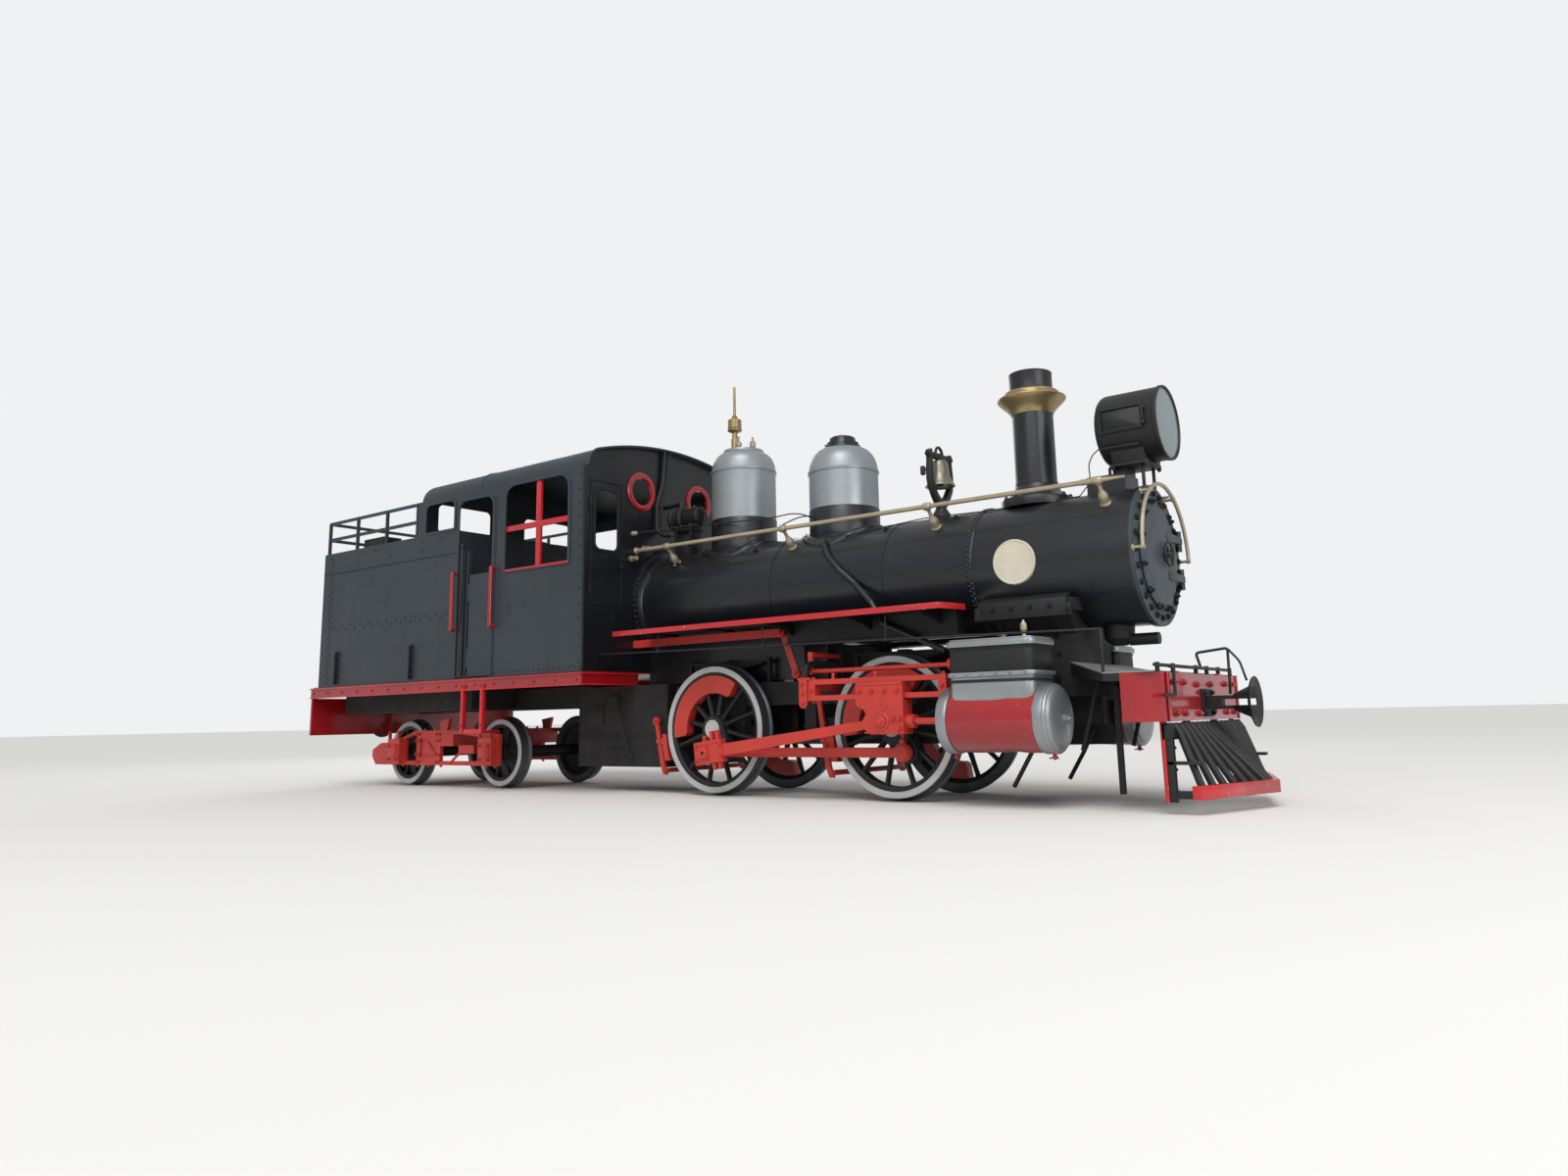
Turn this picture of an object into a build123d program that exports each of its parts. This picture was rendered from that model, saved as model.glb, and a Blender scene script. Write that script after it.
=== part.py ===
from build123d import *
from math import asin, atan2, cos, degrees, hypot, pi, radians, sin, sqrt
import os

# Tank locomotive with two coupled axles, a rear truck and a bunker, for metre gauge.
# Sizes are in millimetres. X runs forward from the rear driving axle, Z up from the rail
# top, and Y to the left. The last step moves everything to the origin of the part.

# Wheels and rods
rail_gauge = 1000
flange_height = 26
flange_width = 30
wheel_outer_y = 604
wheel_inner_y = 468
driver_radius = 560
driver_base = 1885
driver_spokes = 12
tyre_thickness = 52
rim_depth = 38
hub_radius = 120
hub_face_y = 616
driver_axle_radius = 80
crank_boss_radius = 92
crank_throw = 240
crank_angle_right = -57
crank_angle_left = 33
crank_pin_radius = 48
coupling_inner_y = 640
coupling_thick = 48
coupling_depth = 78
coupling_eye_radius = 74
pin_clearance = 0.3
pin_cap_thick = 14
main_rod_thick = 60
main_rod_depth = 92
main_rod_length = 1866
main_eye_radius = 66
wrist_pin_radius = 36
open_pin_gap = 8
cylinder_y = 853
cylinder_z = 600

# Crosshead and slide bars
bar_thick = 40
bar_gap = 88
bar_width = 76
guide_top_z = 944
guide_block_length = 70
guide_end_gap = 58
slide_clearance = 0.3
crosshead_length = 428
crosshead_bottom_drop = 95
crosshead_plate = 26
fork_clearance = 10
side_clearance = 6
piston_rod_radius = 26

# Cylinder and valve chest
cylinder_radius = 243
cylinder_length = 854
jacket_radius = 235
gland_length = 12
piston_end_gap = 156
socket_length = 69
cover_band = 87
front_cover_band = 95
cover_crown = 50
chest_set_back = 96
chest_length = 660
chest_outer_y = 1035
chest_inner_y = 640
chest_base_z = 800
chest_top_z = 1175
chest_lid_thick = 62
chest_flange_z = 935

# Truck under the bunker
truck_axle_rear_x = -4639
truck_axle_front_x = -2996
truck_wheel_radius = 348
truck_hub_radius = 88
truck_axle_radius = 62
truck_frame_y = 735
truck_frame_thick = 42
truck_frame_top_z = 590
truck_frame_bottom_z = 480
truck_tie_z = 215
truck_tail = 521
truck_nose = 146
truck_swing = 5
truck_journal_clear = 0.3

# Main frame
frame_y = 405
frame_thick = 90
frame_rear_x = -1950
frame_top_z = 960
frame_mid_z = 760
frame_low_front_x = 2760
frame_drop_x = 3480
frame_drop_z = 870
motion_plate_x = 1195
motion_plate_thick = 20
pedestal_bottom_z = 420
tail_bottom_z = 800
tail_top_z = 1010
tail_y = 330
ashpan_rear_x = -1860
ashpan_front_x = -640
ashpan_y = 520
ashpan_bottom_z = 214

# Boiler and smokebox
boiler_z = 1786
boiler_radius = 512
firebox_clearance = 11
firebox_front_x = 815
firebox_half_width = 300
firebox_bottom_z = 985
cab_ring_radius = 560
cab_ring_length = 85
smokebox_rear_x = 2560
smokebox_front_x = 3891
smokebox_radius = 518
smokebox_ring_radius = 532
smokebox_ring_length = 50
smokebox_wall = 14
door_radius = 400
door_crown = 42
door_clearance = 3
door_hinge_out = 30
door_hinge_side = 45
arch_radius = 530
arch_out = 72
arch_tube = 15
rail_y = 500
rail_z = 2312
rail_post_root = 0.66
backhead_x = -1780

# Fittings on the boiler
steam_dome_x = -100
steam_dome_radius = 315
steam_dome_top_z = 3225
whistle_bowl_z = 3490
whistle_top_z = 3960
dome_band_thick = 6
dome_foot_out = 74
dome_foot_thick = 22
sand_dome_x = 1084
sand_dome_radius = 319
sand_dome_top_z = 3080
stack_x = 2967
stack_radius = 166
stack_rim_radius = 276
stack_ring_radius = 222
stack_rim_z = 3170
stack_top_z = 3393
stack_bore_z = 3300
bell_x = 2085
bell_pivot_z = 2838
headlight_z = 2784
headlight_radius = 293
headlight_rear_x = 3560
headlight_foot_x = 3640
headlight_front_x = 4056
headlight_foot_z = 2420
generator_x = -700
generator_z = 2638

# Cab
cab_front_x = -1089
cab_rear_x = -3740
cab_half_width = 1200
plate_thick = 8
sill_z = 1113
eaves_z = 3060
eaves_radius = 190
roof_crown_z = 3400
roof_front_x = -1019
roof_rear_x = -3775
roof_thick = 8
roof_rear_roll = 150
roof_rear_bottom_z = 3100
window_rear_x = -2230
window_front_x = -1295
window_bottom_z = 2165
window_top_z = 3015
door_rear_x = -2825
door_front_x = -2450
door_top_z = 2170
doorway_rear_x = -2985
doorway_front_x = -2436
doorway_top_z = 2962
bunker_rear_x = -5600
bunker_front_x = -3000
bunker_top_z = 2664
fence_top_z = 3050
well_rear_x = -5500
well_front_x = -3100
well_bottom_z = 805
porthole_y = 429
porthole_z = 2923
porthole_radius = 190

# Edge channel, running boards and ends
skirt_top_z = 1100
skirt_bottom_z = 985
skirt_rear_x = -5735
board_y = 1045
board_top_z = 1462
board_edge = 40
board_rear_x = -835
board_front_x = 2600
board_inner_y = 420
board_tip_y = 760
board_tip_reach = 60
locker_rear_x = 835
locker_front_x = 2490
locker_outer_y = 575
locker_bottom_z = 1262
reach_y = 500
reach_thick = 30
reach_bottom_z = 1346
reach_depth = 72
reach_pin_x = 727
weighbar_x = 865
weighbar_z = 1022
beam_front_x = 4154
beam_half_width = 1020
beam_top_z = 890
beam_bottom_z = 568
beam_depth = 250
beam_corner = 230
deck_half_width = 1015
deck_knee_x = 3790
deck_rear_x = 3366
deck_rear_half = 520
deck_rise = 104
deck_thick = 10
beam_plate = 30
coupler_z = 688
coupler_front_x = 4500
rear_coupler_x = -6141
coupler_pin_set = 170
coupler_pin_radius = 20
pilot_apex_x = 4600
pilot_corner_x = 4330
pilot_corner_y = 870
pilot_top_x = 4166
pilot_top_y = 840
pilot_bottom_z = 75
pilot_bar_radius = 24
pilot_bars = 14

# Places that follow from the sizes above
middle_x = (pilot_apex_x + rear_coupler_x) / 2
beam_back_x = beam_front_x - beam_plate
rear_plate_x = skirt_rear_x + beam_plate
frame_front_x = beam_front_x - 94
wrist_x = {}
pin_place = {}
for side, angle in (("right", crank_angle_right), ("left", crank_angle_left)):
    pin_x = crank_throw * cos(radians(angle))
    pin_z = driver_radius + crank_throw * sin(radians(angle))
    pin_place[side] = (pin_x, pin_z)
    wrist_x[side] = pin_x + sqrt(main_rod_length**2 - (cylinder_z - pin_z)**2)
wrist_rear = sqrt((main_rod_length - crank_throw)**2 - (cylinder_z - driver_radius)**2)
wrist_front = sqrt((main_rod_length + crank_throw)**2 - (cylinder_z - driver_radius)**2)
crosshead_back = crosshead_length * 0.53
crosshead_front = crosshead_length * 0.47
cylinder_rear_x = wrist_front + crosshead_front + socket_length + piston_end_gap + gland_length
cylinder_front_x = cylinder_rear_x + cylinder_length
chest_rear_x = cylinder_rear_x + chest_set_back
chest_front_x = chest_rear_x + chest_length
guide_rear_x = wrist_rear - crosshead_back - guide_block_length - guide_end_gap


def bar(x0, x1, y0, y1, z0, z1):
    size = (abs(x1 - x0), abs(y1 - y0), abs(z1 - z0))
    return Pos((x0 + x1) / 2, (y0 + y1) / 2, (z0 + z1) / 2) * Box(*size)


def pin_y(x, z, radius, y0, y1):
    return Pos(x, (y0 + y1) / 2, z) * Rot(90, 0, 0) * Cylinder(radius, abs(y1 - y0))


def pin_x(y, z, radius, x0, x1):
    return Pos((x0 + x1) / 2, y, z) * Rot(0, 90, 0) * Cylinder(radius, abs(x1 - x0))


def pin_z(x, y, radius, z0, z1):
    return Pos(x, y, (z0 + z1) / 2) * Cylinder(radius, abs(z1 - z0))


def plate_xz(points, y0, y1):
    flat = make_face(Polyline(*[(x, 0, z) for x, z in points], close=True))
    return Pos(0, min(y0, y1), 0) * extrude(flat, abs(y1 - y0), dir=(0, 1, 0))


def plate_yz(points, x0, x1):
    flat = make_face(Polyline(*[(0, y, z) for y, z in points], close=True))
    return Pos(min(x0, x1), 0, 0) * extrude(flat, abs(x1 - x0), dir=(1, 0, 0))


def plate_xy(points, z0, z1):
    flat = make_face(Polyline(*[(x, y, 0) for x, y in points], close=True))
    return Pos(0, 0, min(z0, z1)) * extrude(flat, abs(z1 - z0), dir=(0, 0, 1))


def turned_z(profile, x, y):
    flat = make_face(Polyline(*[(r, 0, z) for r, z in profile], close=True))
    return Pos(x, y, 0) * revolve(flat, Axis.Z)


def turned_x(profile, y, z):
    flat = make_face(Polyline(*[(x, r, 0) for x, r in profile], close=True))
    return Pos(0, y, z) * revolve(flat, Axis.X)


def turned_y(profile, x, z):
    flat = make_face(Polyline(*[(r, y, 0) for r, y in profile], close=True))
    return Pos(x, 0, z) * revolve(flat, Axis.Y)


def strut(start, end, radius):
    a, b = Vector(*start), Vector(*end)
    return Plane(origin=(a + b) / 2, z_dir=b - a) * Cylinder(radius, (b - a).length)


def tube_run(points, radius):
    run = strut(points[0], points[1], radius)
    for a, b in zip(points[1:], points[2:]):
        run += Pos(*a) * Sphere(radius)
        run += strut(a, b, radius)
    return run


def joined(shapes):
    shapes = list(shapes)
    return shapes[0].fuse(*shapes[1:]) if len(shapes) > 1 else shapes[0]


def to_left(shape):
    return mirror(shape, Plane.XZ)


os.makedirs("parts", exist_ok=True)


def keep(name, shape):
    placed = Pos(-middle_x, 0, flange_height) * shape
    solids = placed.solids()
    export_step(Compound(children=list(solids)) if len(solids) > 1 else solids[0],
                f"parts/{name}.step")


# Wheels
def tyre(radius, x, z):
    back = wheel_inner_y
    face = wheel_outer_y
    inner = radius - tyre_thickness - rim_depth
    profile = [(inner, back), (radius + flange_height * 0.6, back),
               (radius + flange_height, back + 8), (radius + flange_height, back + 18),
               (radius, back + flange_width + 6), (radius, face - 6), (radius - 6, face),
               (radius - tyre_thickness, face), (radius - tyre_thickness, face - 8),
               (inner, face - 8)]
    return turned_y([(r, -y) for r, y in profile], x, z)


def sector(r_in, r_out, middle, spread, y0, y1, x, z):
    steps = 12
    start = middle - spread / 2
    turns = [radians(start + spread * i / steps) for i in range(steps + 1)]
    outer = [(x + r_out * cos(t), z + r_out * sin(t)) for t in turns]
    inner = [(x + r_in * cos(t), z + r_in * sin(t)) for t in reversed(turns)]
    return plate_xz(outer + inner, y0, y1)


def driver_wheel(x, angle, pin_end):
    z = driver_radius
    inner = driver_radius - tyre_thickness - rim_depth
    body = [tyre(driver_radius, x, z)]
    body.append(pin_y(x, z, hub_radius, -wheel_inner_y - 10, -hub_face_y))
    px = x + crank_throw * cos(radians(angle))
    pz = z + crank_throw * sin(radians(angle))
    body.append(pin_y(px, pz, crank_boss_radius, -wheel_inner_y - 20, -hub_face_y))
    web = strut_web(x, z, px, pz)
    body.append(web)
    for i in range(driver_spokes):
        turn = angle + 180 / driver_spokes + 360 * i / driver_spokes
        spoke = plate_xz([(hub_radius - 30, -27), (inner + 6, -19), (inner + 6, 19),
                          (hub_radius - 30, 27)], -wheel_inner_y - 45, -wheel_outer_y + 25)
        body.append(Pos(x, 0, z) * Rot(0, -turn, 0) * spoke)
    body.append(sector(inner - 150, inner + 8, angle + 180, 132,
                       -wheel_inner_y - 40, -wheel_outer_y + 4, x, z))
    body.append(pin_y(px, pz, crank_pin_radius, -hub_face_y, -pin_end))
    wheel = joined(body)
    return wheel


def strut_web(x, z, px, pz):
    length = hypot(px - x, pz - z)
    turn = degrees(atan2(pz - z, px - x))
    web = plate_xz([(0, -hub_radius + 5), (length, -crank_boss_radius + 5),
                    (length, crank_boss_radius - 5), (0, hub_radius - 5)],
                   -wheel_inner_y - 20, -hub_face_y + 4)
    return Pos(x, 0, z) * Rot(0, -turn, 0) * web


coupling_outer_y = coupling_inner_y + coupling_thick
main_rod_inner_y = cylinder_y - main_rod_thick / 2
short_pin_y = coupling_outer_y + pin_clearance + pin_cap_thick
long_pin_y = main_rod_inner_y - open_pin_gap
for name, x, pin_end in (("driver_rear", 0, long_pin_y),
                         ("driver_front", driver_base, short_pin_y)):
    axle = pin_y(x, driver_radius, driver_axle_radius, -wheel_outer_y - 14, wheel_outer_y + 14)
    sides = [axle, driver_wheel(x, crank_angle_right, pin_end),
             to_left(driver_wheel(x, crank_angle_left, pin_end))]
    for side, angle, sign in (("right", crank_angle_right, -1), ("left", crank_angle_left, 1)):
        px = x + crank_throw * cos(radians(angle))
        pz = driver_radius + crank_throw * sin(radians(angle))
        cap = pin_y(px, pz, crank_pin_radius + 10, sign * (coupling_outer_y + pin_clearance),
                    sign * short_pin_y)
        sides.append(cap)
    keep(name, joined(sides))


def truck_wheel(x):
    inner = truck_wheel_radius - tyre_thickness - rim_depth
    disc = [(truck_axle_radius - 10, -wheel_inner_y - 20), (inner + 5, -wheel_inner_y - 60),
            (inner + 5, -wheel_inner_y - 90), (truck_axle_radius - 10, -wheel_inner_y - 60)]
    wheel = tyre(truck_wheel_radius, x, truck_wheel_radius)
    wheel += turned_y(disc, x, truck_wheel_radius)
    wheel += pin_y(x, truck_wheel_radius, truck_hub_radius, -wheel_inner_y - 6, -wheel_outer_y + 4)
    return wheel


truck_journal_y = truck_frame_y + truck_frame_thick
for name, x in (("truck_axle_rear", truck_axle_rear_x), ("truck_axle_front", truck_axle_front_x)):
    wheel = truck_wheel(x)
    axle = pin_y(x, truck_wheel_radius, truck_axle_radius, -wheel_outer_y, wheel_outer_y)
    journal = pin_y(x, truck_wheel_radius, 45, -truck_journal_y, truck_journal_y)
    keep(name, joined([axle, journal, wheel, to_left(wheel)]))

# Truck frame: side frames outside the wheels, joined by a bolster and two end transoms
truck_middle_x = (truck_axle_rear_x + truck_axle_front_x) / 2
truck_rear_x = truck_axle_rear_x - truck_tail
truck_front_x = truck_axle_front_x + truck_nose
truck_frame_inner_y = truck_frame_y - truck_frame_thick
frame_outline = [(truck_rear_x, truck_tie_z + 90), (truck_rear_x + 70, truck_tie_z),
                 (truck_front_x, truck_tie_z), (truck_front_x, truck_frame_top_z - 50),
                 (truck_front_x - 210, truck_frame_top_z - 30),
                 (truck_front_x - 550, truck_frame_top_z), (truck_middle_x - 510, truck_frame_top_z),
                 (truck_axle_rear_x - 100, truck_frame_top_z - 120),
                 (truck_rear_x + 160, truck_frame_top_z - 133), (truck_rear_x, truck_frame_top_z - 210)]
rear_bay = [(truck_axle_rear_x + 125, truck_tie_z + 45), (truck_middle_x - 480, truck_tie_z + 45),
            (truck_middle_x - 480, truck_frame_top_z - 45), (truck_middle_x - 560, truck_frame_top_z - 50),
            (truck_axle_rear_x + 125, truck_frame_top_z - 90)]
front_bay = [(truck_middle_x - 40, truck_tie_z + 45), (truck_axle_front_x - 125, truck_tie_z + 45),
             (truck_axle_front_x - 125, truck_frame_top_z - 80),
             (truck_middle_x + 340, truck_frame_top_z - 45), (truck_middle_x - 40, truck_frame_top_z - 45)]
panel = [(truck_middle_x - 410, truck_tie_z + 80), (truck_middle_x - 110, truck_tie_z + 80),
         (truck_middle_x - 110, truck_frame_top_z - 85), (truck_middle_x - 410, truck_frame_top_z - 85)]
wedge = [(truck_middle_x - 30, truck_frame_top_z - 5), (truck_middle_x + 70, truck_frame_top_z - 5),
         (truck_middle_x + 110, truck_frame_top_z + 125), (truck_middle_x - 60, truck_frame_top_z + 100)]
side_frame = plate_xz(frame_outline, -truck_frame_inner_y, -truck_frame_y)
for hole in (rear_bay, front_bay):
    side_frame -= plate_xz(hole, -truck_frame_inner_y + 5, -truck_frame_y - 5)
side_frame -= plate_xz(panel, -truck_frame_y + 15, -truck_frame_y - 5)
side_frame += plate_xz(wedge, -truck_frame_inner_y, -truck_frame_y)
side_frame += strut((truck_middle_x + 150, -truck_frame_y, truck_tie_z + 25),
                    (truck_middle_x + 400, -truck_frame_y, truck_tie_z + 190), 14)
side_frame += bar(truck_middle_x + 330, truck_middle_x + 590, -truck_frame_inner_y, -truck_frame_y - 30,
                  truck_tie_z + 125, truck_tie_z + 215)
for x in (truck_axle_rear_x, truck_axle_front_x):
    side_frame += bar(x - 110, x + 110, -truck_frame_inner_y, -truck_frame_y - 70,
                      truck_wheel_radius - 120, truck_frame_top_z - 85)
    side_frame -= pin_y(x, truck_wheel_radius, 45 + truck_journal_clear,
                        -truck_frame_inner_y + 1, -truck_journal_y - 8)
truck_parts = [side_frame, to_left(side_frame)]
truck_parts.append(bar(truck_rear_x + 2, truck_rear_x + 60, -truck_frame_y, truck_frame_y,
                       truck_tie_z + 120, truck_frame_top_z - 220))
truck_parts.append(bar(truck_middle_x - 190, truck_middle_x + 190, -truck_frame_y, truck_frame_y,
                       truck_frame_bottom_z - 60, truck_frame_top_z))
truck_parts.append(pin_z(truck_middle_x, 0, 170, truck_frame_top_z, tail_bottom_z - pin_clearance))
keep("truck_frame", joined(truck_parts))

# Coupling rods: eyes on both crankpins, with a shallow I-section bar between them
coupling_fit = crank_pin_radius + pin_clearance
for side, sign in (("right", -1), ("left", 1)):
    x0, z0 = pin_place[side]
    rod = bar(x0, x0 + driver_base, -coupling_inner_y, -coupling_outer_y,
              z0 - coupling_depth / 2, z0 + coupling_depth / 2)
    for x in (x0, x0 + driver_base):
        rod += pin_y(x, z0, coupling_eye_radius, -coupling_inner_y, -coupling_outer_y)
        rod += bar(x - 20, x + 20, -coupling_inner_y, -coupling_outer_y, z0, z0 + coupling_eye_radius + 26)
    for x in (x0, x0 + driver_base):
        rod -= pin_y(x, z0, coupling_fit, -coupling_inner_y + 5, -coupling_outer_y - 5)
    keep(f"coupling_rod_{side}", rod if side == "right" else to_left(rod))

# Main rods: strap end with keys and bolts behind, plain eye inside the crosshead in front
main_rod_outer_y = main_rod_inner_y + main_rod_thick
for side in ("right", "left"):
    x0, z0 = pin_place[side]
    x1, z1 = wrist_x[side], cylinder_z
    tilt = degrees(asin((z1 - z0) / main_rod_length))
    half_rear = main_rod_depth / 2 + 6
    half_front = main_rod_depth / 2 - 14
    rod = plate_xz([(150, -half_rear), (main_rod_length, -half_front),
                    (main_rod_length, half_front), (150, half_rear)],
                   -main_rod_inner_y - 8, -main_rod_outer_y + 8)
    rod += bar(-105, 210, -main_rod_inner_y, -main_rod_outer_y, -98, 98)
    for x in (95, 160):
        rod += bar(x - 18, x + 18, -main_rod_inner_y - 12, -main_rod_outer_y + 12, -132, 146)
    rod += pin_y(0, 0, 56, -main_rod_outer_y, -main_rod_outer_y - 8)
    rod += pin_y(main_rod_length, 0, main_eye_radius, -main_rod_inner_y, -main_rod_outer_y)
    rod -= pin_y(main_rod_length, 0, wrist_pin_radius + pin_clearance,
                 -main_rod_inner_y + 5, -main_rod_outer_y - 5)
    rod = Pos(x0, 0, z0) * Rot(0, -tilt, 0) * rod
    keep(f"main_rod_{side}", rod if side == "right" else to_left(rod))

# Crossheads: slide block between the bars, a fork round the rod's eye, and the piston rod
guide_lower_z = guide_top_z - 2 * bar_thick - bar_gap
slide_low = guide_lower_z + bar_thick + slide_clearance
slide_high = guide_top_z - bar_thick - slide_clearance
fork_inner_y = main_rod_inner_y - fork_clearance
fork_outer_y = main_rod_outer_y + fork_clearance
bar_inner_y = cylinder_y - bar_width / 2
bar_outer_y = cylinder_y + bar_width / 2
plate_outer_y = max(fork_outer_y, bar_outer_y + side_clearance)
cheek_inner_y = min(fork_inner_y, bar_inner_y - side_clearance)
stuffing_x = cylinder_rear_x - gland_length
for side in ("right", "left"):
    wx = wrist_x[side]
    rear = wx - crosshead_back
    front = wx + crosshead_front
    low = cylinder_z - crosshead_bottom_drop
    cheek = [(rear, slide_high - 20), (rear, slide_low - 88), (rear + 70, slide_low - 120),
             (rear + 92, cylinder_z + 60), (rear + 60, cylinder_z + 12), (rear + 30, low + 70),
             (rear + 130, low), (front, low), (front, slide_high - 20)]
    head = plate_xz(cheek, -plate_outer_y, -plate_outer_y - crosshead_plate)
    head += plate_xz(cheek, -cheek_inner_y, -cheek_inner_y + crosshead_plate)
    head += bar(rear + 10, front - 10, -cheek_inner_y + crosshead_plate, -plate_outer_y, slide_low,
                slide_high)
    head += bar(front - 70, front, -cheek_inner_y + crosshead_plate, -plate_outer_y,
                low, guide_lower_z - 12)
    head += pin_y(wx, cylinder_z, wrist_pin_radius, -cheek_inner_y + crosshead_plate, -plate_outer_y - 40)
    head += pin_y(wx, cylinder_z, 48, -plate_outer_y - crosshead_plate, -plate_outer_y - 40)
    head += pin_x(-cylinder_y, cylinder_z, 52, front - 10, front + socket_length)
    reach = cylinder_rear_x + 180 + (wx - wrist_rear)
    head += pin_x(-cylinder_y, cylinder_z, piston_rod_radius, front, reach)
    keep(f"crosshead_{side}", head if side == "right" else to_left(head))

# Slide bars with end blocks, carried at the back by the guide yoke
bars = bar(guide_rear_x, cylinder_rear_x, -bar_inner_y, -bar_outer_y, guide_top_z - bar_thick, guide_top_z)
bars += bar(guide_rear_x, cylinder_rear_x, -bar_inner_y, -bar_outer_y, guide_lower_z,
            guide_lower_z + bar_thick)
for x0, x1 in ((guide_rear_x, guide_rear_x + guide_block_length),
               (cylinder_rear_x - guide_block_length, cylinder_rear_x)):
    bars += bar(x0, x1, -bar_inner_y, -bar_outer_y, guide_lower_z, guide_top_z)
rod_sweep_z = driver_radius + crank_throw + coupling_depth / 2
bars += bar(guide_rear_x - 40, guide_rear_x, -frame_y, -bar_outer_y, rod_sweep_z + 20, frame_top_z)
bars += bar(guide_rear_x - 40, guide_rear_x, -bar_inner_y + 30, -bar_outer_y, guide_lower_z, frame_top_z)
keep("guides_right", bars)
keep("guides_left", to_left(bars))

# Cylinders with covers, jacket, valve chest and stuffing boxes
barrel = pin_x(-cylinder_y, cylinder_z, jacket_radius, cylinder_rear_x, cylinder_front_x)
barrel += pin_x(-cylinder_y, cylinder_z, cylinder_radius, cylinder_rear_x, cylinder_rear_x + cover_band)
dome_steps = 6
front_cover = [(cylinder_front_x - front_cover_band, 0),
               (cylinder_front_x - front_cover_band, cylinder_radius)]
for i in range(dome_steps + 1):
    turn = pi / 2 * i / dome_steps
    front_cover.append((cylinder_front_x + cover_crown * sin(turn), cylinder_radius * cos(turn)))
barrel += turned_x(front_cover, -cylinder_y, cylinder_z)
barrel += pin_x(-cylinder_y, cylinder_z, 70, stuffing_x, cylinder_rear_x)
barrel -= pin_x(-cylinder_y, cylinder_z, piston_rod_radius + 2, stuffing_x - 10, cylinder_front_x - 60)
chest = bar(chest_rear_x, chest_front_x, -chest_inner_y, -chest_outer_y, chest_base_z - 60, chest_top_z)
chest = fillet(chest.edges().filter_by(Axis.Z), 55)
lid = bar(chest_rear_x - 18, chest_front_x + 18, -chest_inner_y + 18, -chest_outer_y - 18,
          chest_top_z - chest_lid_thick, chest_top_z)
lid = fillet(lid.edges().filter_by(Axis.Z), 65)
foot = bar(chest_rear_x - 18, chest_front_x + 18, -chest_inner_y + 18, -chest_outer_y - 18,
           chest_flange_z - 95, chest_flange_z)
foot = fillet(foot.edges().filter_by(Axis.Z), 65)
saddle_arm = bar(chest_rear_x + 60, chest_front_x - 60, -frame_y, -chest_inner_y - 100,
                 cylinder_z - 60, chest_flange_z - 20)
barrel = joined([barrel, chest, lid, foot, saddle_arm])
barrel -= pin_x(-cylinder_y, cylinder_z, piston_rod_radius + 2, stuffing_x - 10, cylinder_front_x - 60)
keep("cylinder_right", barrel)
keep("cylinder_left", to_left(barrel))

# Main frame: two side bars with pedestals, stretchers, and the tail over the truck
frame_inner = frame_y - frame_thick
sides = []
side_bar = bar(frame_rear_x, frame_front_x, -frame_inner, -frame_y, frame_mid_z, frame_top_z)
side_bar -= bar(frame_drop_x, frame_front_x + 10, -frame_inner + 5, -frame_y - 5, frame_drop_z,
                frame_top_z + 5)
side_bar += bar(frame_rear_x, frame_low_front_x, -frame_inner, -frame_y, pedestal_bottom_z,
                pedestal_bottom_z + 90)
for x in (0, driver_base):
    side_bar += bar(x - 210, x + 210, -frame_inner, -frame_y, pedestal_bottom_z, frame_mid_z + 10)
    side_bar -= pin_y(x, driver_radius, driver_axle_radius + pin_clearance, 0, -frame_y - 20)
for x in (frame_rear_x + 60, 940, frame_low_front_x - 60):
    side_bar += bar(x - 60, x + 60, -frame_inner, -frame_y, pedestal_bottom_z, frame_mid_z + 10)
tail = bar(rear_plate_x, frame_rear_x + 300, -tail_y + 70, -tail_y, tail_bottom_z, tail_top_z)
frame_parts = [side_bar, to_left(side_bar), tail, to_left(tail)]
for x0, x1, half, z0, z1 in ((-1900, -1800, frame_y, 700, 1000), (930, 980, frame_y, 640, 900),
                             (2660, 2760, frame_y, 600, 900),
                             (3600, 3650, frame_y, frame_mid_z, frame_drop_z - 10),
                             (-4000, -3640, tail_y, tail_bottom_z, tail_top_z - 30)):
    frame_parts.append(bar(x0, x1, -half, half, z0, z1))
frame_parts.append(bar(motion_plate_x, motion_plate_x + motion_plate_thick, -locker_outer_y + 60,
                       locker_outer_y - 60, frame_top_z - 5, locker_bottom_z))
for sign in (-1, 1):
    frame_parts.append(bar(1190, 1290, sign * frame_y, sign * (frame_y - 30), frame_top_z - 5,
                           locker_bottom_z))
    frame_parts.append(bar(1190, 1290, sign * (frame_y - 30), sign * (locker_outer_y - 60),
                           locker_bottom_z - 12, locker_bottom_z))
keep("main_frame", joined(frame_parts))

ashpan = bar(ashpan_rear_x, ashpan_front_x, -ashpan_y, ashpan_y, ashpan_bottom_z, skirt_bottom_z)
ashpan -= bar(ashpan_rear_x - 5, ashpan_front_x + 5, -frame_y - 3, -frame_inner + 3,
              pedestal_bottom_z - 3, frame_top_z + 3)
ashpan -= bar(ashpan_rear_x - 5, ashpan_front_x + 5, frame_y + 3, frame_inner - 3,
              pedestal_bottom_z - 3, frame_top_z + 3)
ashpan -= bar(ashpan_rear_x - 5, ashpan_rear_x + 80, -frame_y - 3, frame_y + 3, 690, skirt_bottom_z + 5)
for sign in (-1, 1):
    ashpan -= bar(ashpan_rear_x - 5, ashpan_rear_x + 240, sign * (tail_y + 3), sign * (tail_y - 73),
                  tail_bottom_z - 3, skirt_bottom_z + 5)
keep("ashpan", ashpan)

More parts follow.
